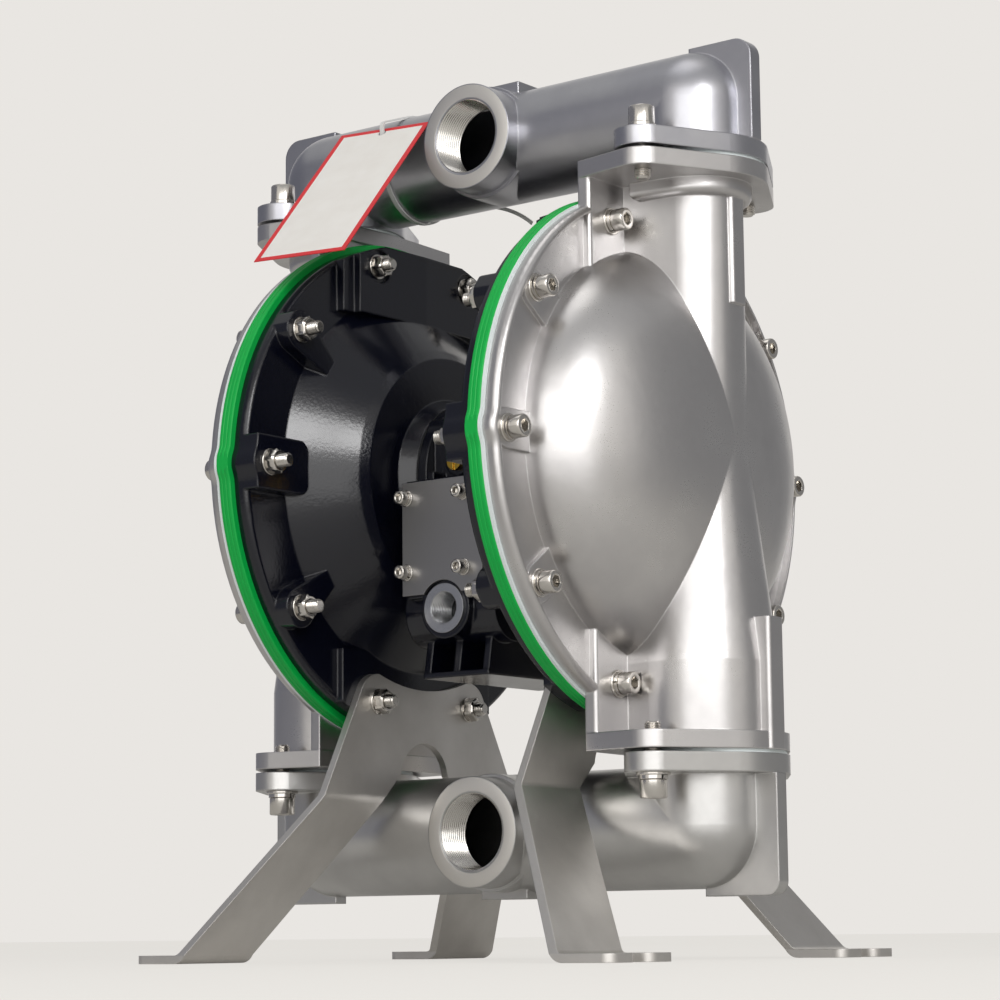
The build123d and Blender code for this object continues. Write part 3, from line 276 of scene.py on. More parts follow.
def threaded(start, end, crest, root, pitch, wall=0.0, count=40, steps=6):
    """Helical thread between two heights, closed on the axis or by a plain wall at another radius."""
    form = bmesh.new()
    rows = round((end - start) / pitch * steps)
    loops = []
    for n in range(rows + 1):
        height = start + (end - start) * n / rows
        loop = []
        for k in range(count):
            flank = 1 - abs(2 * ((height / pitch + k / count) % 1.0) - 1)
            radius = root + (crest - root) * min(1.0, max(0.0, 1.3 * flank - 0.15))
            x, y = ring_point(2 * math.pi * k / count, radius)
            loop.append(form.verts.new((x * MM, y * MM, height * MM)))
        loops.append(loop)
    for height, place in ((start, 0), (end, len(loops) + 1)):
        if wall:
            corners = [ring_point(2 * math.pi * k / count, wall) for k in range(count)]
            loops.insert(place, [form.verts.new((x * MM, y * MM, height * MM)) for x, y in corners])
        else:
            loops.insert(place, [form.verts.new((0, 0, height * MM))])
    if wall:
        loops.append(loops[0])
    skin(form, loops, count)
    return finished(form, "thread")


def split_ring(inner, outer, thickness, rise, gap=10.0, count=36):
    """Spring washer: a square ring cut at one place, whose two ends stand apart."""
    form = bmesh.new()
    loops = []
    for k in range(count + 1):
        turn = math.radians(gap / 2 + (360 - gap) * k / count)
        lift = rise * (k / count - 0.5)
        corners = []
        for radius, height in ((inner, 0), (outer, 0), (outer, thickness), (inner, thickness)):
            height = min(thickness, max(0.0, height + lift))
            x, y = ring_point(turn, radius)
            corners.append(form.verts.new((x * MM, y * MM, height * MM)))
        loops.append(corners)
    skin(form, loops, 4)
    capped(form, loops)
    return finished(form, "split_ring")


def joined(*meshes):
    """One mesh that holds all of these."""
    form = bmesh.new()
    for mesh in meshes:
        form.from_mesh(mesh)
    whole = bpy.data.meshes.new("joined")
    form.to_mesh(whole)
    form.free()
    return whole


def rim_reach(angle, inset):
    """Radius of the rim's outline at an angle from a side lobe, less an inset."""
    turn = abs((angle + math.pi / 2) % math.pi - math.pi / 2)
    circle, lobe, blend = RIM_RADIUS - inset, LOBE_RADIUS - inset, LOBE_BLEND + inset
    far = circle + blend
    middle = math.acos((far**2 + BOLT_CIRCLE**2 - (lobe + blend) ** 2) / (2 * far * BOLT_CIRCLE))
    meet_x = BOLT_CIRCLE + (far * math.cos(middle) - BOLT_CIRCLE) * lobe / (lobe + blend)
    meet_y = far * math.sin(middle) * lobe / (lobe + blend)
    if turn < math.atan2(meet_y, meet_x):
        return BOLT_CIRCLE * math.cos(turn) + math.sqrt(lobe**2 - (BOLT_CIRCLE * math.sin(turn)) ** 2)
    if turn < middle:
        return far * math.cos(turn - middle) - math.sqrt(blend**2 - (far * math.sin(turn - middle)) ** 2)
    return circle


def rim_swept(profile, side):
    """Closed band round the rim: its section is a loop of (x, inset) points, in millimetres."""
    turns = [2 * math.pi * k / 180 for k in range(180)]
    # Finer steps round the lobes, between those of 2 degrees
    for middle in (0.0, math.pi):
        turns += [middle + math.radians(k * 0.4) for k in range(-14, 15) if k % 5]
    turns = sorted(turn % (2 * math.pi) for turn in turns)
    form = bmesh.new()
    loops = []
    for turn in turns:
        loop = []
        for x, inset in profile:
            reach = rim_reach(turn, inset)
            # At the lobes the rubber is no wider than the frame
            y = max(-RIM_REACH, min(RIM_REACH, reach * math.cos(turn)))
            z = ROD_HEIGHT + reach * math.sin(turn)
            loop.append(form.verts.new((side * x * MM, y * MM, z * MM)))
        loops.append(loop)
    loops.append(loops[0])
    skin(form, loops, len(profile))
    return finished(form, "rim_band")


def bent_strip(start, middle, end, width, thickness, steps=14):
    """Flat strip along one smooth bend between two points, its width upright."""
    form = bmesh.new()
    start, middle, end = Vector(start), Vector(middle), Vector(end)
    loops = []
    for k in range(steps + 1):
        t = k / steps
        place = (1 - t) ** 2 * start + 2 * t * (1 - t) * middle + t**2 * end
        along = (2 * (1 - t) * (middle - start) + 2 * t * (end - middle)).normalized()
        flat = along.cross(Vector((0, 0, 1))).normalized() * thickness / 2
        rise = flat.cross(along).normalized() * width / 2
        corners = (-flat - rise, flat - rise, flat + rise, rise - flat)
        loops.append([form.verts.new((place + corner) * MM) for corner in corners])
    skin(form, loops, 4)
    capped(form, loops)
    return finished(form, "strip")


def soften(mesh, angle=35.0):
    """Smooth shading that keeps edges over an angle sharp."""
    mesh.shade_smooth()
    mesh.set_sharp_from_angle(angle=math.radians(angle))
    return mesh


def scatter_tree():
    """Tree that sets one fastener on every point, aimed along an axis and twisted about it."""
    tree = bpy.data.node_groups.new("fastener_scatter", "GeometryNodeTree")
    for name, kind in (
        ("Geometry", "NodeSocketGeometry"),
        ("Fastener", "NodeSocketObject"),
        ("Aim", "NodeSocketVector"),
        ("Twist", "NodeSocketFloat"),
        ("Size", "NodeSocketFloat"),
        ("Seed", "NodeSocketInt"),
        ("Finish", "NodeSocketMaterial"),
    ):
        tree.interface.new_socket(name, in_out="INPUT", socket_type=kind)
    tree.interface.new_socket("Geometry", in_out="OUTPUT", socket_type="NodeSocketGeometry")
    given = add_node(tree, "NodeGroupInput").outputs
    points = add_node(tree, "GeometryNodeMeshToPoints", {"Mesh": given["Geometry"]})
    model = add_node(tree, "GeometryNodeObjectInfo", {"Object": given["Fastener"]})
    aim = add_node(tree, "FunctionNodeEulerToRotation", {"Euler": given["Aim"]})
    placed = add_node(
        tree,
        "GeometryNodeInstanceOnPoints",
        {
            "Points": points.outputs["Points"],
            "Instance": model.outputs["Geometry"],
            "Rotation": aim.outputs["Rotation"],
            "Scale": given["Size"],
        },
    )
    least = add_node(tree, "ShaderNodeMath", {0: given["Twist"], 1: -1.0}, operation="MULTIPLY")
    chance = add_node(
        tree,
        "FunctionNodeRandomValue",
        {2: least.outputs[0], 3: given["Twist"], "Seed": given["Seed"]},
        data_type="FLOAT",
    )
    twist = add_node(tree, "ShaderNodeCombineXYZ", {"Z": chance.outputs[1]})
    turned_ones = add_node(
        tree,
        "GeometryNodeRotateInstances",
        {"Instances": placed.outputs["Instances"], "Rotation": twist.outputs["Vector"], "Local Space": True},
    )
    real = add_node(tree, "GeometryNodeRealizeInstances", {"Geometry": turned_ones.outputs["Instances"]})
    coated = add_node(
        tree, "GeometryNodeSetMaterial", {"Geometry": real.outputs["Geometry"], "Material": given["Finish"]}
    )
    add_node(tree, "NodeGroupOutput", {"Geometry": coated.outputs["Geometry"]})
    return tree


def scattered(places, fastener, aim, finish, twist=0.0, seed=1):
    """Plain mesh with a fastener on each place, turned by up to twist, made by the scatter tree."""
    tree = bpy.data.node_groups.get("fastener_scatter") or scatter_tree()
    points = bpy.data.meshes.new("places")
    points.from_pydata([Vector(place) * MM for place in places], [], [])
    host = bpy.data.objects.new("host", points)
    model = bpy.data.objects.new("model", soften(fastener))
    for made in (host, model):
        bpy.context.scene.collection.objects.link(made)
    modifier = host.modifiers.new("scatter", "NODES")
    modifier.node_group = tree
    values = {
        "Fastener": model,
        "Aim": AIMS[aim],
        "Twist": twist,
        "Size": 1.0,
        "Seed": seed,
        "Finish": finish,
    }
    for socket in tree.interface.items_tree:
        if socket.in_out == "INPUT" and socket.name in values:
            modifier[socket.identifier] = values[socket.name]
    depsgraph = bpy.context.evaluated_depsgraph_get()
    result = bpy.data.meshes.new_from_object(host.evaluated_get(depsgraph))
    host.modifiers.remove(modifier)
    for made in (host, model):
        bpy.data.objects.remove(made)
    return result


# Finishes

def cast_stainless(name, tint, worn, rough, edge=1.6):
    """Investment-cast stainless steel, bead blasted: satin, with an even fine grain and no direction."""
    made, tree, shader, place = new_material(name)
    # Blotches of 45 mm, from blasting and handling, so that no large face is one flat tone
    blotch = add_node(tree, "ShaderNodeTexNoise", {"Vector": place, "Scale": grain(45.45), "Detail": 4.0})
    tone = add_node(tree, "ShaderNodeValToRGB", {"Fac": blotch.outputs["Fac"]})
    for stop, position, colour in zip(tone.color_ramp.elements, (0.32, 0.68), (tint, worn)):
        stop.position = position
        stop.color = linear(colour)
    tree.links.new(tone.outputs["Color"], shader.inputs["Base Color"])
    # Blasting pits are 0.1 mm; they are drawn at 0.83 mm so that they show
    pits = add_node(tree, "ShaderNodeTexNoise", {"Vector": place, "Scale": grain(0.8333), "Detail": 2.0})
    mixed = add_node(
        tree, "ShaderNodeMath", {0: blotch.outputs["Fac"], 1: pits.outputs["Fac"]}, operation="ADD"
    )
    gloss = add_node(
        tree,
        "ShaderNodeMapRange",
        {
            "Value": mixed.outputs[0],
            "From Min": 0.7,
            "From Max": 1.3,
            "To Min": rough - 0.06,
            "To Max": rough + 0.06,
        },
    )
    tree.links.new(gloss.outputs["Result"], shader.inputs["Roughness"])
    # The mould leaves slow waves of 9 mm under the pits, which bend long highlights a little
    waves = add_node(tree, "ShaderNodeTexNoise", {"Vector": place, "Scale": grain(9.09), "Detail": 1.0})
    rounded = add_node(tree, "ShaderNodeBevel", {"Radius": edge * MM}, samples=6)
    swell = add_node(
        tree,
        "ShaderNodeBump",
        {
            "Height": waves.outputs["Fac"],
            "Strength": 0.3,
            "Distance": 0.25 * MM,
            "Normal": rounded.outputs["Normal"],
        },
    )
    bump = add_node(
        tree,
        "ShaderNodeBump",
        {
            "Height": pits.outputs["Fac"],
            "Strength": 0.3,
            "Distance": 0.06 * MM,
            "Normal": swell.outputs["Normal"],
        },
    )
    tree.links.new(bump.outputs["Normal"], shader.inputs["Normal"])
    shader.inputs["Metallic"].default_value = 1.0
    return made


def coated_black(name, tint, edge=2.2):
    """Black powder coat on cast aluminium: it runs thick over edges, which catch thin bright lines."""
    made, tree, shader, place = new_material(name)
    # Orange peel, 2.5 mm from crest to crest, breaks up the highlights
    peel = add_node(tree, "ShaderNodeTexNoise", {"Vector": place, "Scale": grain(2.5), "Detail": 2.0})
    rounded = add_node(tree, "ShaderNodeBevel", {"Radius": edge * MM}, samples=6)
    bump = add_node(
        tree,
        "ShaderNodeBump",
        {
            "Height": peel.outputs["Fac"],
            "Strength": 0.4,
            "Distance": 0.2 * MM,
            "Normal": rounded.outputs["Normal"],
        },
    )
    # Clouds of 56 mm, where the coat cured more or less glossy
    cloud = add_node(tree, "ShaderNodeTexNoise", {"Vector": place, "Scale": grain(55.56), "Detail": 3.0})
    gloss = add_node(
        tree, "ShaderNodeMapRange", {"Value": cloud.outputs["Fac"], "To Min": 0.1, "To Max": 0.25}
    )
    tree.links.new(gloss.outputs["Result"], shader.inputs["Roughness"])
    tree.links.new(bump.outputs["Normal"], shader.inputs["Normal"])
    shader.inputs["Base Color"].default_value = colour_of(tint)
    shader.inputs["Specular IOR Level"].default_value = 0.6
    return made


def plain_metal(name, tint, rough, edge=0.4):
    """Machined or rolled metal: smooth, with fine marks that spread its highlights."""
    made, tree, shader, place = new_material(name)
    # Tool marks are 0.1 mm apart; they are drawn at 1.1 mm so that they show
    marks = add_node(tree, "ShaderNodeTexNoise", {"Vector": place, "Scale": grain(1.111), "Detail": 2.0})
    rounded = add_node(tree, "ShaderNodeBevel", {"Radius": edge * MM}, samples=6)
    bump = add_node(
        tree,
        "ShaderNodeBump",
        {
            "Height": marks.outputs["Fac"],
            "Strength": 0.2,
            "Distance": 0.02 * MM,
            "Normal": rounded.outputs["Normal"],
        },
    )
    tree.links.new(bump.outputs["Normal"], shader.inputs["Normal"])
    gloss = add_node(
        tree,
        "ShaderNodeMapRange",
        {"Value": marks.outputs["Fac"], "To Min": rough - 0.05, "To Max": rough + 0.05},
    )
    tree.links.new(gloss.outputs["Result"], shader.inputs["Roughness"])
    shader.inputs["Base Color"].default_value = linear(tint)
    shader.inputs["Metallic"].default_value = 1.0
    return made


def moulded_polymer(name, tint, rough, shine=0.5):
    """Moulded rubber or plastic: no metal, faintly clouded, with a soft grit."""
    made, tree, shader, place = new_material(name)
    # Clouds of 33 mm, from dust and handling
    cloud = add_node(tree, "ShaderNodeTexNoise", {"Vector": place, "Scale": grain(33.33), "Detail": 3.0})
    level = add_node(
        tree, "ShaderNodeMapRange", {"Value": cloud.outputs["Fac"], "To Min": 0.88, "To Max": 1.1}
    )
    tone = add_node(
        tree, "ShaderNodeHueSaturation", {"Color": colour_of(tint), "Value": level.outputs["Result"]}
    )
    tree.links.new(tone.outputs["Color"], shader.inputs["Base Color"])
    # The mould's grit is 0.2 mm; it is drawn at 1.4 mm so that it shows
    grit = add_node(tree, "ShaderNodeTexNoise", {"Vector": place, "Scale": grain(1.4286), "Detail": 2.0})
    bump = add_node(
        tree, "ShaderNodeBump", {"Height": grit.outputs["Fac"], "Strength": 0.2, "Distance": 0.06 * MM}
    )
    tree.links.new(bump.outputs["Normal"], shader.inputs["Normal"])
    shader.inputs["Roughness"].default_value = rough
    shader.inputs["Specular IOR Level"].default_value = shine
    return made


def bordered_card(name, tint):
    """Coated card: a dull sheen, a coloured border along its four edges and a bare pale field."""
    made, tree, shader, place = new_material(name)
    tag = bpy.context.scene.pump_tag
    across = Vector((math.cos(tag.yaw), math.sin(tag.yaw), -math.sin(tag.roll))).normalized()
    upward = bearing(tag.yaw, tag.tilt).cross(across).normalized()
    middle = Vector(tag.hole) + upward * (tag.inset - tag.length / 2)
    edges = []
    for axis, half in ((across, tag.width / 2), (upward, tag.length / 2)):
        along = add_node(tree, "ShaderNodeVectorMath", {0: place, 1: axis}, operation="DOT_PRODUCT")
        shift = {0: along.outputs["Value"], 1: axis.dot(middle)}
        off = add_node(tree, "ShaderNodeMath", shift, operation="SUBTRACT")
        size = add_node(tree, "ShaderNodeMath", {0: off.outputs[0]}, operation="ABSOLUTE")
        edge = add_node(
            tree, "ShaderNodeMath", {0: size.outputs[0], 1: half - tag.border}, operation="GREATER_THAN"
        )
        edges.append(edge.outputs[0])
    border = add_node(tree, "ShaderNodeMath", {0: edges[0], 1: edges[1]}, operation="MAXIMUM")
    # Fibre clouds of 17 mm under the coating
    cloud = add_node(tree, "ShaderNodeTexNoise", {"Vector": place, "Scale": grain(16.67), "Detail": 3.0})
    paper = add_node(tree, "ShaderNodeValToRGB", {"Fac": cloud.outputs["Fac"]})
    for stop, colour in zip(paper.color_ramp.elements, ("#E6E2DC", "#F2F0EC")):
        stop.color = linear(colour)
    ink = add_node(
        tree,
        "ShaderNodeMixRGB",
        {"Fac": border.outputs[0], "Color1": paper.outputs["Color"], "Color2": colour_of(tint)},
    )
    tree.links.new(ink.outputs["Color"], shader.inputs["Base Color"])
    shader.inputs["Roughness"].default_value = 0.38
    return made


FINISHES = {
    # Blasted covers: the palest casting, a satin that blurs what it mirrors
    "cover_stainless": (cast_stainless, "#CFCDCC", "#C2C0C0", 0.33),
    # Discharge manifold: the same steel, with painted shade: a darker and cooler tint for the dark room that
    # it mirrors
    "discharge_stainless_painted_shade": (cast_stainless, "#C0C0C4", "#B0B0B6", 0.34),
    # Suction manifold: the same steel, between those two
    "suction_stainless": (cast_stainless, "#CAC9C7", "#BDBCBB", 0.35),
    # Blasted sheet of the legs: duller and warmer, with tight bends
    "bracket_stainless": (cast_stainless, "#DAD7D3", "#CCC9C5", 0.46, 0.7),
    # Rolled sheet of the valve cover: dark and flat
    "plate_stainless": (plain_metal, "#A4A3A3", 0.32, 0.5),
    # Rolled and turned fasteners: small hard glints
    "screw_stainless": (plain_metal, "#D0CCC6", 0.2),
    # Turned faces of ports and seats: pale and dull, from the feed marks
    "machined_stainless": (plain_metal, "#DAD7D2", 0.5),
    # Cut threads: bright crests on dark roots
    "thread_stainless": (plain_metal, "#D6D3CE", 0.2),
    # Plated steel of the air inlet: a cool gloss
    "inlet_steel": (plain_metal, "#C6C7C9", 0.24),
    # Oiled steel of rods and plates inside: dark, with a wet gloss
    "oiled_steel": (plain_metal, "#3A3B40", 0.3),
    # Turned brass of the plug: yellow glints
    "turned_brass": (plain_metal, "#E0B84E", 0.18),
    # Bearing bronze of the bushes: brown and dull beside the brass
    "bearing_bronze": (plain_metal, "#B08A50", 0.3),
    # Powder coat of caps and block: near black, with broad soft highlights
    "black_powder_coat": (coated_black, "coat"),
    # Moulded rubber of the diaphragms: a strong green with a low sheen
    "green_rubber": (moulded_polymer, "rubber", 0.42, 0.35),
    # Moulded rubber of gaskets: a matt near black
    "black_rubber": (moulded_polymer, "#1A1A1C", 0.6),
    # Skived PTFE of overlays and balls: waxy, a cool white
    "white_ptfe": (moulded_polymer, "#E4ECEC", 0.4),
    # Coated card of the tag: pale, with its border printed
    "printed_card": (bordered_card, "border"),
    # Moulded nylon of the tie: pale, with a slight gloss
    "clear_nylon": (moulded_polymer, "#DEDEDC", 0.3),
}

SLOT_FINISHES = {
    "cast_stainless": "cover_stainless",
    "manifold_stainless": "discharge_stainless_painted_shade",
    "sheet_stainless": "bracket_stainless",
    "plate_stainless": "plate_stainless",
    "seat_stainless": "machined_stainless",
    "fastener_steel": "screw_stainless",
    "inlet_steel": "inlet_steel",
    "dark_steel": "oiled_steel",
    "black_paint": "black_powder_coat",
    "green_rubber": "green_rubber",
    "black_rubber": "black_rubber",
    "white_ptfe": "white_ptfe",
    "brass": "turned_brass",
    "bronze": "bearing_bronze",
    "card": "printed_card",
    "tie_plastic": "clear_nylon",
}

MADE = {}


def finish_named(name):
    """The finish of that name, made when it is first asked for."""
    if name not in MADE:
        maker, *values = FINISHES[name]
        MADE[name] = maker(name, *values)
    return MADE[name]


def seen_directly(tree):
    """1 for what the camera, a reflection or a clear body sees, else 0."""
    path = add_node(tree, "ShaderNodeLightPath").outputs
    seen = path["Is Camera Ray"]
    for other in ("Is Glossy Ray", "Is Transmission Ray"):
        seen = add_node(tree, "ShaderNodeMath", {0: seen, 1: path[other]}, operation="MAXIMUM").outputs[0]
    return seen


# Settings

def length_setting(name, description, default):
    """A setting that holds a length in millimetres."""
    return FloatProperty(name=name, description=f"{description}, in mm", default=default)


def place_setting(name, description, default):
    """A setting that holds a place in metres."""
    return FloatVectorProperty(name=name, description=description, default=default, unit="LENGTH")


def angle_setting(name, description, degrees):
    """A setting that holds an angle, given in degrees."""
    return FloatProperty(
        name=name, description=description, default=math.radians(degrees), subtype="ANGLE"
    )


def colour_setting(name, description, code):
    """A setting that holds a colour, given as a hex value."""
    return FloatVectorProperty(
        name=name, description=description, default=linear(code)[:3], subtype="COLOR", min=0.0, max=1.0
    )


class FinishSettings(bpy.types.PropertyGroup):
    """Colours that tell one pump from another."""

    coat: colour_setting("Coat", "Powder coat of the air caps and the centre block", "#090B17")
    rubber: colour_setting("Rubber", "Rubber of the diaphragms", "#00AC46")
    border: colour_setting("Border", "Print along the edges of the tag", "#D81C26")


class RimSettings(bpy.types.PropertyGroup):
    """Fasteners and rubber bands of the chamber rims."""

    seed: IntProperty(name="Seed", description="Seed of the fasteners' turns", default=7)
    head_radius: length_setting("Head radius", "Radius of a screw's head", 8.0)
    head_height: length_setting("Head height", "Height of a screw's head", 10.0)
    socket_flats: length_setting("Socket", "Width across the flats of a screw's socket", 8.0)
    screw_radius: length_setting("Screw radius", "Radius of a screw", 5.0)
    screw_length: length_setting("Screw length", "Length of a screw under its head", 67.0)
    plain_length: length_setting("Plain length", "Length of a screw's plain neck", 30.0)
    pitch: length_setting("Pitch", "Pitch of a screw's thread", 1.5)
    flat_washer: length_setting("Flat washer", "Thickness of a flat washer", 1.8)
    flat_washer_radius: length_setting("Flat washer radius", "Outer radius of a flat washer", 10.0)
    spring_washer: length_setting("Spring washer", "Thickness of a spring washer", 2.8)
    spring_washer_radius: length_setting("Spring washer radius", "Outer radius of a spring washer", 8.6)
    spring_rise: length_setting("Spring rise", "How far a spring washer's ends stand apart", 0.5)
    nut_flats: length_setting("Nut", "Width across the nut's flats", 16.0)
    nut_height: length_setting("Nut height", "Height of a nut", 8.4)
    nut_washer: length_setting("Nut washer", "Thickness of the washer under a nut", 1.6)
    nut_turn: angle_setting("Nut turn", "Most that a nut is turned either way", 30.0)
    band_width: length_setting("Band width", "Thickness of the rubber between cap and overlay", 11.0)
    band_proud: length_setting("Band", "How far the rubber bulges", 0.9)
    groove: length_setting("Groove", "Width of a groove in the rubber", 1.4)
    groove_depth: length_setting("Groove depth", "Depth of a groove in the rubber", 0.35)


class FlangeSettings(bpy.types.PropertyGroup):
    """Fasteners that hold the manifolds to the covers."""

    seed: IntProperty(name="Seed", description="Seed of the fasteners' turns", default=3)
    spread: length_setting("Spread", "From the column's middle to a screw", 68.0)
    head_radius: length_setting("Head radius", "Radius of a screw's head", 9.5)
    head_height: length_setting("Head height", "Height of a screw's head", 13.0)
    socket_flats: length_setting("Socket", "Width across the flats of a screw's socket", 10.0)
    screw_radius: length_setting("Screw radius", "Radius of a screw", 6.0)
    screw_length: length_setting("Screw length", "Length of a screw under its head", 40.0)
    plain_length: length_setting("Plain length", "Length of a screw's plain neck", 8.0)
    pitch: length_setting("Pitch", "Pitch of a screw's thread", 1.75)
    flat_washer: length_setting("Flat washer", "Thickness of a flat washer", 2.0)
    flat_washer_radius: length_setting("Flat washer radius", "Outer radius of a flat washer", 12.0)
    spring_washer: length_setting("Spring washer", "Thickness of a spring washer", 3.0)
    spring_washer_radius: length_setting("Spring washer radius", "Outer radius of a spring washer", 10.2)
    spring_rise: length_setting("Spring rise", "How far a spring washer's ends stand apart", 0.5)


class ValveCoverSettings(bpy.types.PropertyGroup):
    """Small fasteners of the valve cover."""

    seed: IntProperty(name="Seed", description="Seed of the fasteners' turns", default=9)
    head_radius: length_setting("Head radius", "Radius of a screw's head", 5.0)
    head_height: length_setting("Head height", "Height of a screw's head", 6.5)
    socket_flats: length_setting("Socket", "Width across the flats of a screw's socket", 5.0)
    screw_radius: length_setting("Screw radius", "Radius of a screw", 3.0)
    screw_length: length_setting("Screw length", "Length of a screw under its head", 14.0)
    plain_length: length_setting("Plain length", "Length of a screw's plain neck", 2.0)
    pitch: length_setting("Pitch", "Pitch of a screw's thread", 1.0)
    flat_washer: length_setting("Flat washer", "Thickness of a flat washer", 1.4)
    flat_washer_radius: length_setting("Flat washer radius", "Outer radius of a flat washer", 6.2)
    spring_washer: length_setting("Spring washer", "Thickness of a spring washer", 1.8)
    spring_washer_radius: length_setting("Spring washer radius", "Outer radius of a spring washer", 5.6)
    spring_rise: length_setting("Spring rise", "How far a spring washer's ends stand apart", 0.3)
    left: length_setting("Left", "X of the screws on the left", -33.0)
    right: length_setting("Right", "X of the screws on the right", 20.0)
    upper: length_setting("Upper", "Height of the upper screws", 336.0)
    lower: length_setting("Lower", "Height of the lower screws", 281.0)


class PortSettings(bpy.types.PropertyGroup):
    """Faces and threads of the openings."""

    face_radius: length_setting("Face radius", "Outer radius of a port's turned face", 40.0)
    face_chamfer: length_setting("Face chamfer", "Chamfer round a port's turned face", 0.8)
    port_pitch: length_setting("Port pitch", "Pitch of a port's pipe thread", 2.309)
    inlet_pitch: length_setting("Inlet pitch", "Pitch of the air inlet's pipe thread", 1.814)


class TagSettings(bpy.types.PropertyGroup):
    """Place and print of the hang tag, as the frame has it, and the loose tail of its tie."""

    hole: place_setting("Hole", "Middle of the tag's hole", (-0.089, -0.0445, 0.6325))
    tilt: angle_setting("Tilt", "Lean of the tag to the front", 42.6)
    yaw: angle_setting("Yaw", "Turn of the tag about the upright", 7.6)
    roll: angle_setting("Roll", "Side tilt of the tag", 1.8)
    width: FloatProperty(name="Width", description="Width of the card", default=0.081, unit="LENGTH")
    length: FloatProperty(name="Length", description="Length of the card", default=0.168, unit="LENGTH")
    inset: FloatProperty(name="Inset", description="Hole to the top edge", default=0.006, unit="LENGTH")
    border: FloatProperty(name="Border", description="Width of the border", default=0.0042, unit="LENGTH")
    tail_width: length_setting("Tail width", "Width of the tie's tail", 3.0)
    tail_thickness: length_setting("Tail thickness", "Thickness of the tie's tail", 1.1)
    tail_start: place_setting("Tail start", "Where the tail leaves the tie's loop", (-0.0875, 0.046, 0.592))
    tail_bend: place_setting("Tail bend", "Point that the tail bends towards", (-0.042, 0.052, 0.59))
    tail_end: place_setting("Tail end", "Where the tail ends", (-0.012, 0.0445, 0.566))


class StageSettings(bpy.types.PropertyGroup):
    """Camera, lamps, floor and backdrop."""

    camera_place: place_setting("Camera", "Where the camera stands", (1.2839, -1.6877, 0.0175))
    camera_turn: angle_setting("Azimuth", "Turn of the view about the upright", 37.517)
    camera_pitch: angle_setting("Pitch", "Upward tilt of the view", 8.693)
    camera_roll: angle_setting("Roll", "Roll of the view", -0.567)
    lens: length_setting("Lens", "Focal length of the camera", 102.73)
    backdrop: colour_setting("Backdrop", "Colour behind the pump", "#E9E6E2")
    ambient: colour_setting("Ambient", "Light of the room on the pump", "#B5B4B2")
    floor: colour_setting("Floor", "Paper that the pump stands on", "#CCCAC6")
    floor_glow: colour_setting("Floor glow", "Backdrop in the floor, as it is seen", "#F4F1EC")
    floor_share: FloatProperty(
        name="Seen glow", description="Share of plain backdrop in the floor as seen", default=0.74
    )
    floor_mirrored: FloatProperty(
        name="Mirrored glow", description="Share of plain backdrop in the floor as mirrored", default=0.12
    )
    key_level: FloatProperty(name="Key level", description="Radiance of the large soft lamp", default=1.45)
    near_level: FloatProperty(name="Near level", description="Radiance of the small near lamp", default=9.0)
    top_level: FloatProperty(name="Top level", description="Radiance of the lamp overhead", default=0.8)


# Fasteners

def cap_screw(sizes):
    """Socket head cap screw: its head stands on z = 0 and its thread runs down below it."""
    head, height, socket = sizes.head_radius, sizes.head_height, sizes.socket_flats
    shank, length, plain = sizes.screw_radius, sizes.screw_length, sizes.plain_length
    socket_floor = height * 0.38
    # A chamfer at the foot, a rounded top edge, and a hexagon socket whose floor is drilled
    form = turned(
        (
            (0.0, 0.0, 0.0),
            (0.0, head - 0.5, 0.0),
            (0.5, head, 0.0),
            (height - 0.9, head, 0.0),
            (height - 0.25, head - 0.45, 0.0),
            (height, head - 1.0, 0.0),
            (height, socket * 0.62, 0.0),
            (height - 0.4, socket, socket),
            (socket_floor, socket, socket),
            (socket_floor - 0.8, 0.0, 0.0),
        ),
        count=36,
    )
    root = shank - 0.6 * sizes.pitch
    tip = 0.7 * sizes.pitch - length
    thread = threaded(tip, -plain - 1.0, shank, root, sizes.pitch)
    end = turned(((-length, 0, 0), (-length, root - 0.6, 0), (tip, root, 0), (tip + 0.2, 0, 0)))
    neck = turned(((-plain - 1.5, 0, 0), (-plain - 1.5, shank, 0), (-0.1, shank, 0), (-0.1, 0, 0)))
    return joined(form, thread, end, neck)


def flat_washer(inner, outer, thickness):
    """Stamped washer with rounded outer edges, standing on z = 0."""
    soft = min(0.4, thickness * 0.3)
    return turned(
        (
            (0.0, inner, 0.0),
            (0.0, outer - soft / 2, 0.0),
            (soft / 2, outer, 0.0),
            (thickness - soft, outer, 0.0),
            (thickness, outer - soft, 0.0),
            (thickness, inner, 0.0),
        ),
        count=40,
        closed=True,
    )


def hex_nut(flats, height, bore, washer):
    """Hexagon nut, its corners turned off at both ends, on a flat washer that stands on z = 0."""
    corner = flats / 2 / math.cos(math.pi / 6)
    top = washer + height
    chamfer = 0.7
    nut = turned(
        (
            (washer, flats * 0.475, 0.0),
            (washer + 0.1 * height, corner, flats),
            (top - 0.14 * height, corner, flats),
            (top, flats * 0.46, 0.0),
            (top, bore + chamfer, 0.0),
            (top - chamfer, bore, 0.0),
            (washer + chamfer, bore, 0.0),
            (washer, bore + chamfer, 0.0),
        ),
        count=48,
        closed=True,
    )
    return joined(nut, flat_washer(bore, flats * 0.61, washer))


def lifted(spots, aim, lift):
    """The spots, moved along an aim, in millimetres."""
    away = Euler(AIMS[aim]).to_matrix() @ Vector((0, 0, lift))
    return [Vector(spot) + away for spot in spots]


def cap_screws(sizes, seats, aim, seed):
    """A cap screw over the two washers of every seat."""
    heads = lifted(seats, aim, sizes.flat_washer + sizes.spring_washer)
    return scattered(heads, cap_screw(sizes), aim, finish_named("screw_stainless"), ANY_TURN, seed)


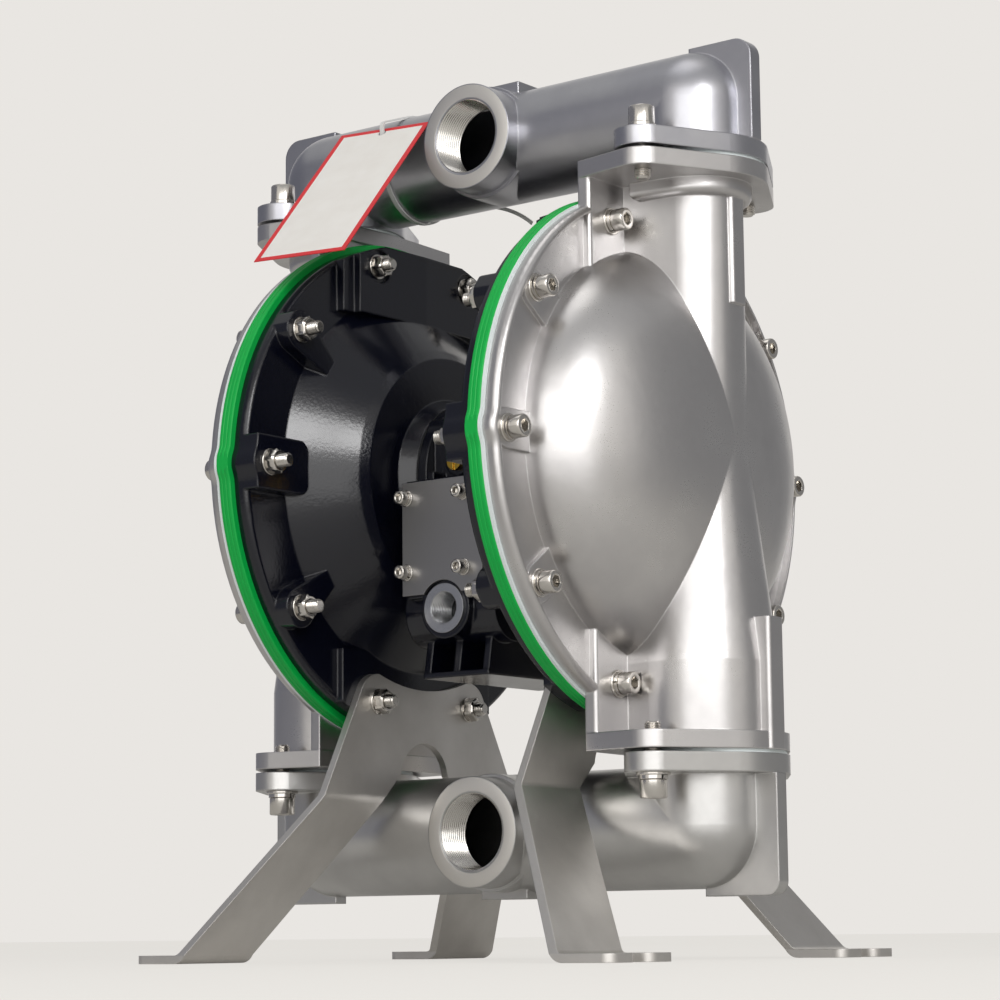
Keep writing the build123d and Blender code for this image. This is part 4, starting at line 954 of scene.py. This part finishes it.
def flat_washers(sizes, seats, aim):
    """A flat washer on every seat."""
    model = flat_washer(sizes.screw_radius + WASHER_PLAY, sizes.flat_washer_radius, sizes.flat_washer)
    return scattered(seats, model, aim, finish_named("screw_stainless"))


def spring_washers(sizes, seats, aim, seed):
    """A spring washer over the flat washer of every seat."""
    bore = sizes.screw_radius + WASHER_PLAY
    model = split_ring(bore, sizes.spring_washer_radius, sizes.spring_washer, sizes.spring_rise)
    risen = lifted(seats, aim, sizes.flat_washer)
    return scattered(risen, model, aim, finish_named("screw_stainless"), ANY_TURN, seed)


def rim_spots(side, seat, ear_seat):
    """Places on the bolt circle, at one x on the ears and at another elsewhere."""
    spots = []
    for n in range(RIM_COUNT):
        turn = 2 * math.pi * n / RIM_COUNT
        x = ear_seat if n in EAR_PLACES else seat
        spots.append((side * x, BOLT_CIRCLE * math.cos(turn), ROD_HEIGHT + BOLT_CIRCLE * math.sin(turn)))
    return spots


def dressed(name, mesh, node):
    """Links fasteners as a piece that stands for their CAD node."""
    steel = finish_named("screw_stainless")
    new_piece(f"dressed_{name}", mesh, replaced=(node,), material=steel)


# Steps

class PUMP_OT_finishes(bpy.types.Operator):
    """Gives every CAD node the finish of its material slot"""

    bl_idname = "pump.finishes"
    bl_label = "Finishes"

    def execute(self, context):
        for part in frame["record"]["subparts"]:
            node = NODES[part["node"]]
            node.data.materials.clear()
            node.data.materials.append(finish_named(SLOT_FINISHES[part["material_slot"]]))
        NODES["suction_manifold"].data.materials[0] = finish_named("suction_stainless")
        return {"FINISHED"}


class PUMP_OT_rim_fasteners(bpy.types.Operator):
    """Cap screws, washers, split washers and nuts round both chamber rims"""

    bl_idname = "pump.rim_fasteners"
    bl_label = "Rim fasteners"

    def execute(self, context):
        rim = context.scene.pump_rim
        steel = finish_named("screw_stainless")
        for name, side in SIDES:
            out, back = ("+X", "-X") if side > 0 else ("-X", "+X")
            seats = rim_spots(side, LOW_SEAT, EAR_SEAT)
            seed = rim.seed + side
            nut = hex_nut(rim.nut_flats, rim.nut_height, rim.screw_radius + WASHER_PLAY, rim.nut_washer)
            nuts = scattered(rim_spots(side, NUT_SEAT, NUT_SEAT), nut, back, steel, rim.nut_turn, seed)
            dressed(f"rim_screws_{name}", cap_screws(rim, seats, out, seed), f"rim_screws_{name}")
            dressed(f"rim_washers_{name}", flat_washers(rim, seats, out), f"rim_washers_{name}")
            springs = spring_washers(rim, seats, out, seed)
            dressed(f"rim_spring_washers_{name}", springs, f"rim_spring_washers_{name}")
            dressed(f"rim_nuts_{name}", nuts, f"rim_nuts_{name}")
        return {"FINISHED"}


class PUMP_OT_flange_fasteners(bpy.types.Operator):
    """Larger cap screws and washers of the manifold flanges"""

    bl_idname = "pump.flange_fasteners"
    bl_label = "Flange fasteners"

    def execute(self, context):
        flange = context.scene.pump_flange
        corners = [(x, y) for x in (-COLUMN_X, COLUMN_X) for y in (-flange.spread, flange.spread)]
        for end, seat, aim in (("top", TOP_FLANGE, "+Z"), ("bottom", BOTTOM_FLANGE, "-Z")):
            seats = [(x, y, seat) for x, y in corners]
            screws = cap_screws(flange, seats, aim, flange.seed)
            dressed(f"flange_screws_{end}", screws, f"flange_screws_{end}")
            flat = flat_washers(flange, seats, aim)
            spring = spring_washers(flange, seats, aim, flange.seed + 2)
            washers = soften(joined(flat, spring))
            dressed(f"flange_washers_{end}", washers, f"flange_washers_{end}")
        return {"FINISHED"}


class PUMP_OT_valve_cover_fasteners(bpy.types.Operator):
    """Small cap screws and washers of the valve cover"""

    bl_idname = "pump.valve_cover_fasteners"
    bl_label = "Valve cover fasteners"

    def execute(self, context):
        cover = context.scene.pump_valve_cover
        places = [(x, z) for x in (cover.left, cover.right) for z in (cover.upper, cover.lower)]
        seats = [(x, PLATE_FRONT, z) for x, z in places]
        dressed("valve_screws", cap_screws(cover, seats, "-Y", cover.seed), "valve_cover_screws")
        flat = flat_washers(cover, seats, "-Y")
        spring = spring_washers(cover, seats, "-Y", cover.seed + 2)
        dressed("valve_washers", soften(joined(flat, spring)), "valve_cover_washers")
        return {"FINISHED"}


class PUMP_OT_rim_bands(bpy.types.Operator):
    """Bulging edge of each diaphragm, with its two moulded grooves"""

    bl_idname = "pump.rim_bands"
    bl_label = "Rim bands"

    def execute(self, context):
        rim = context.scene.pump_rim
        back, front = CAP_FACE + 0.05, CAP_FACE + rim.band_width - 0.05
        root, proud = 3.0, rim.band_proud
        third = (front - back) / 3
        profile = [(back, root), (back, -0.1), (back + 0.35, -0.75 * proud), (back + 0.9, -proud)]
        for middle in (back + third, back + 2 * third):
            profile += [
                (middle - rim.groove / 2, -proud),
                (middle - rim.groove / 4, rim.groove_depth - proud),
                (middle + rim.groove / 4, rim.groove_depth - proud),
                (middle + rim.groove / 2, -proud),
            ]
        profile += [(front - 0.9, -proud), (front - 0.35, -0.75 * proud), (front, -0.1), (front, root)]
        rubber = finish_named("green_rubber")
        for name, side in SIDES:
            band = soften(rim_swept(profile, side), 40.0)
            new_piece(f"diaphragm_edge_{name}", band, material=rubber)
        return {"FINISHED"}


class PUMP_OT_ports(bpy.types.Operator):
    """Pipe threads and turned faces of the two ports, and the air inlet's thread"""

    bl_idname = "pump.ports"
    bl_label = "Ports"

    def execute(self, context):
        ports = context.scene.pump_ports
        face = (
            (-0.2, PORT_BORE + 0.9, 0.0),
            (0.15, PORT_BORE + 1.2, 0.0),
            (0.15, ports.face_radius - ports.face_chamfer, 0.0),
            (-0.2, ports.face_radius, 0.0),
        )
        for name in ("discharge", "suction"):
            spots = [opening(f"{name}_port")]
            ring = turned(face, 96, closed=True)
            mesh = scattered(spots, ring, "-Y", finish_named("machined_stainless"))
            new_piece(f"{name}_port_face", mesh)
            thread = threaded(pitch=ports.port_pitch, **PORT_THREAD)
            mesh = scattered(spots, thread, "-Y", finish_named("thread_stainless"))
            new_piece(f"{name}_port_thread", mesh)
        thread = threaded(pitch=ports.inlet_pitch, **INLET_THREAD)
        mesh = scattered([opening("air_inlet")], thread, "-Y", finish_named("inlet_steel"))
        new_piece("air_inlet_thread", mesh)
        return {"FINISHED"}


class PUMP_OT_tie_tail(bpy.types.Operator):
    """Loose tail of the tie that holds the tag, bent down behind the discharge tube"""

    bl_idname = "pump.tie_tail"
    bl_label = "Tie tail"

    def execute(self, context):
        tag = context.scene.pump_tag
        bends = [Vector(spot) / MM for spot in (tag.tail_start, tag.tail_bend, tag.tail_end)]
        tail = soften(bent_strip(*bends, tag.tail_width, tag.tail_thickness))
        new_piece("tag_tie_tail", tail, material=finish_named("clear_nylon"))
        return {"FINISHED"}


class PUMP_OT_stage(bpy.types.Operator):
    """Floor, backdrop, soft lamps and the camera at the photographed angle"""

    bl_idname = "pump.stage"
    bl_label = "Stage"

    def execute(self, context):
        settings = context.scene.pump_stage
        self.floor(settings)
        self.world(settings)
        self.lamps(settings)
        self.camera(settings)
        context.scene.view_settings.view_transform = "Standard"
        return {"FINISHED"}

    def floor(self, settings):
        """A sheet of paper far wider than the view, just under the feet."""
        mesh = bpy.data.meshes.new("floor")
        reach, depth = 30.0, -0.0002
        turns = ((-1, -1), (1, -1), (1, 1), (-1, 1))
        corners = [(x * reach, y * reach, depth) for x, y in turns]
        mesh.from_pydata(corners, [], [(0, 1, 2, 3)])
        mesh.materials.append(self.floor_paper(settings))
        floor = bpy.data.objects.new("floor", mesh)
        bpy.context.scene.collection.objects.link(floor)

    def floor_paper(self, settings):
        """Pale paper: the camera and reflections see the backdrop's colour, with the pump's shadow on it."""
        made, tree, shader, place = new_material("floor_paper")
        shader.inputs["Base Color"].default_value = [*settings.floor, 1.0]
        shader.inputs["Roughness"].default_value = 0.8
        glow = add_node(tree, "ShaderNodeEmission", {"Color": [*settings.floor_glow, 1.0]})
        path = add_node(tree, "ShaderNodeLightPath").outputs
        eye = add_node(
            tree,
            "ShaderNodeMath",
            {0: path["Is Camera Ray"], 1: settings.floor_share - settings.floor_mirrored},
            operation="MULTIPLY",
        )
        mirrored = add_node(
            tree,
            "ShaderNodeMath",
            {0: seen_directly(tree), 1: settings.floor_mirrored},
            operation="MULTIPLY",
        )
        part = add_node(tree, "ShaderNodeMath", {0: eye.outputs[0], 1: mirrored.outputs[0]}, operation="ADD")
        mixed = add_node(
            tree,
            "ShaderNodeMixShader",
            {0: part.outputs[0], 1: shader.outputs["BSDF"], 2: glow.outputs["Emission"]},
        )
        tree.links.new(mixed.outputs["Shader"], tree.nodes["Material Output"].inputs["Surface"])
        return made

    def world(self, settings):
        """Even light on the pump, and the backdrop's colour for what is seen or mirrored."""
        world = bpy.data.worlds.new("studio")
        world.use_nodes = True
        tree = world.node_tree
        tree.nodes.clear()
        ambient = add_node(tree, "ShaderNodeBackground", {"Color": [*settings.ambient, 1.0]})
        shown = add_node(tree, "ShaderNodeBackground", {"Color": [*settings.backdrop, 1.0]})
        mixed = add_node(
            tree,
            "ShaderNodeMixShader",
            {0: seen_directly(tree), 1: ambient.outputs["Background"], 2: shown.outputs["Background"]},
        )
        add_node(tree, "ShaderNodeOutputWorld", {"Surface": mixed.outputs["Shader"]})
        bpy.context.scene.world = world

    def lamps(self, settings):
        """Soft lamps, each as bright as its own face looks, and the cards."""
        for name, (azimuth, elevation, distance, width, height) in LAMPS.items():
            lamp = bpy.data.lights.new(f"{name}_lamp", "AREA")
            lamp.shape = "RECTANGLE"
            lamp.size, lamp.size_y = width, height
            lamp.energy = getattr(settings, f"{name}_level") * math.pi * width * height
            holder = bpy.data.objects.new(f"{name}_lamp", lamp)
            away = bearing(math.radians(azimuth), math.radians(elevation))
            holder.location = Vector((0, 0, MIDDLE_HEIGHT)) + distance * away
            holder.rotation_euler = away.to_track_quat("Z", "Y").to_euler()
            holder.visible_camera = False
            bpy.context.scene.collection.objects.link(holder)
        for name, sizes in CARDS.items():
            self.card(name, *sizes)

    def card(self, name, start, end, bottom, top, shade, steps=12):
        """Curved card round the pump that only reflections see."""
        verts, faces = [], []
        middle = Vector((0, 0, MIDDLE_HEIGHT))
        for k in range(steps + 1):
            turn = math.radians(start + (end - start) * k / steps)
            verts += [middle + CARD_DISTANCE * bearing(turn, math.radians(lift)) for lift in (bottom, top)]
        for k in range(steps):
            faces.append((2 * k, 2 * k + 1, 2 * k + 3, 2 * k + 2))
        mesh = bpy.data.meshes.new(name)
        mesh.from_pydata(verts, [], faces)
        made = bpy.data.materials.new(name)
        made.use_nodes = True
        tree = made.node_tree
        tree.nodes.clear()
        glow = add_node(tree, "ShaderNodeEmission", {"Color": linear(shade)})
        add_node(tree, "ShaderNodeOutputMaterial", {"Surface": glow.outputs["Emission"]})
        mesh.materials.append(made)
        card = bpy.data.objects.new(name, mesh)
        card.visible_camera = False
        card.visible_diffuse = False
        card.visible_shadow = False
        bpy.context.scene.collection.objects.link(card)

    def camera(self, settings):
        """The camera, turned, pitched and rolled to the photographed view."""
        turn, pitch, roll = settings.camera_turn, settings.camera_pitch, settings.camera_roll
        ahead = -bearing(turn, -pitch)
        right = Vector((math.cos(turn), math.sin(turn), 0))
        up = right.cross(ahead)
        across = right * math.cos(roll) + up * math.sin(roll)
        upward = up * math.cos(roll) - right * math.sin(roll)
        data = bpy.data.cameras.new("camera")
        data.lens = settings.lens
        data.sensor_width = 36.0
        data.clip_start, data.clip_end = 0.05, 100.0
        camera = bpy.data.objects.new("camera", data)
        turned_frame = Matrix((across, upward, -ahead)).transposed().to_4x4()
        camera.matrix_world = Matrix.Translation(Vector(settings.camera_place)) @ turned_frame
        bpy.context.scene.collection.objects.link(camera)
        bpy.context.scene.camera = camera


class PUMP_PT_panel(bpy.types.Panel):
    """Steps that dress the pump"""

    bl_idname = "PUMP_PT_panel"
    bl_label = "Diaphragm pump"
    bl_space_type = "VIEW_3D"
    bl_region_type = "UI"
    bl_category = "Pump"

    def draw(self, context):
        for step in STEPS:
            self.layout.operator(step.bl_idname)


STEPS = (
    PUMP_OT_finishes,
    PUMP_OT_rim_fasteners,
    PUMP_OT_flange_fasteners,
    PUMP_OT_valve_cover_fasteners,
    PUMP_OT_rim_bands,
    PUMP_OT_ports,
    PUMP_OT_tie_tail,
    PUMP_OT_stage,
)
GROUPS = {
    "pump_finish": FinishSettings,
    "pump_rim": RimSettings,
    "pump_flange": FlangeSettings,
    "pump_valve_cover": ValveCoverSettings,
    "pump_ports": PortSettings,
    "pump_tag": TagSettings,
    "pump_stage": StageSettings,
}
CLASSES = (*GROUPS.values(), *STEPS, PUMP_PT_panel)


def register():
    for kind in CLASSES:
        bpy.utils.register_class(kind)
    for name, kind in GROUPS.items():
        setattr(bpy.types.Scene, name, PointerProperty(type=kind))


def unregister():
    for name in GROUPS:
        delattr(bpy.types.Scene, name)
    for kind in reversed(CLASSES):
        bpy.utils.unregister_class(kind)


def main():
    register()
    for step in STEPS:
        group, action = step.bl_idname.split(".")
        getattr(getattr(bpy.ops, group), action)()


if __name__ == "__main__":
    main()
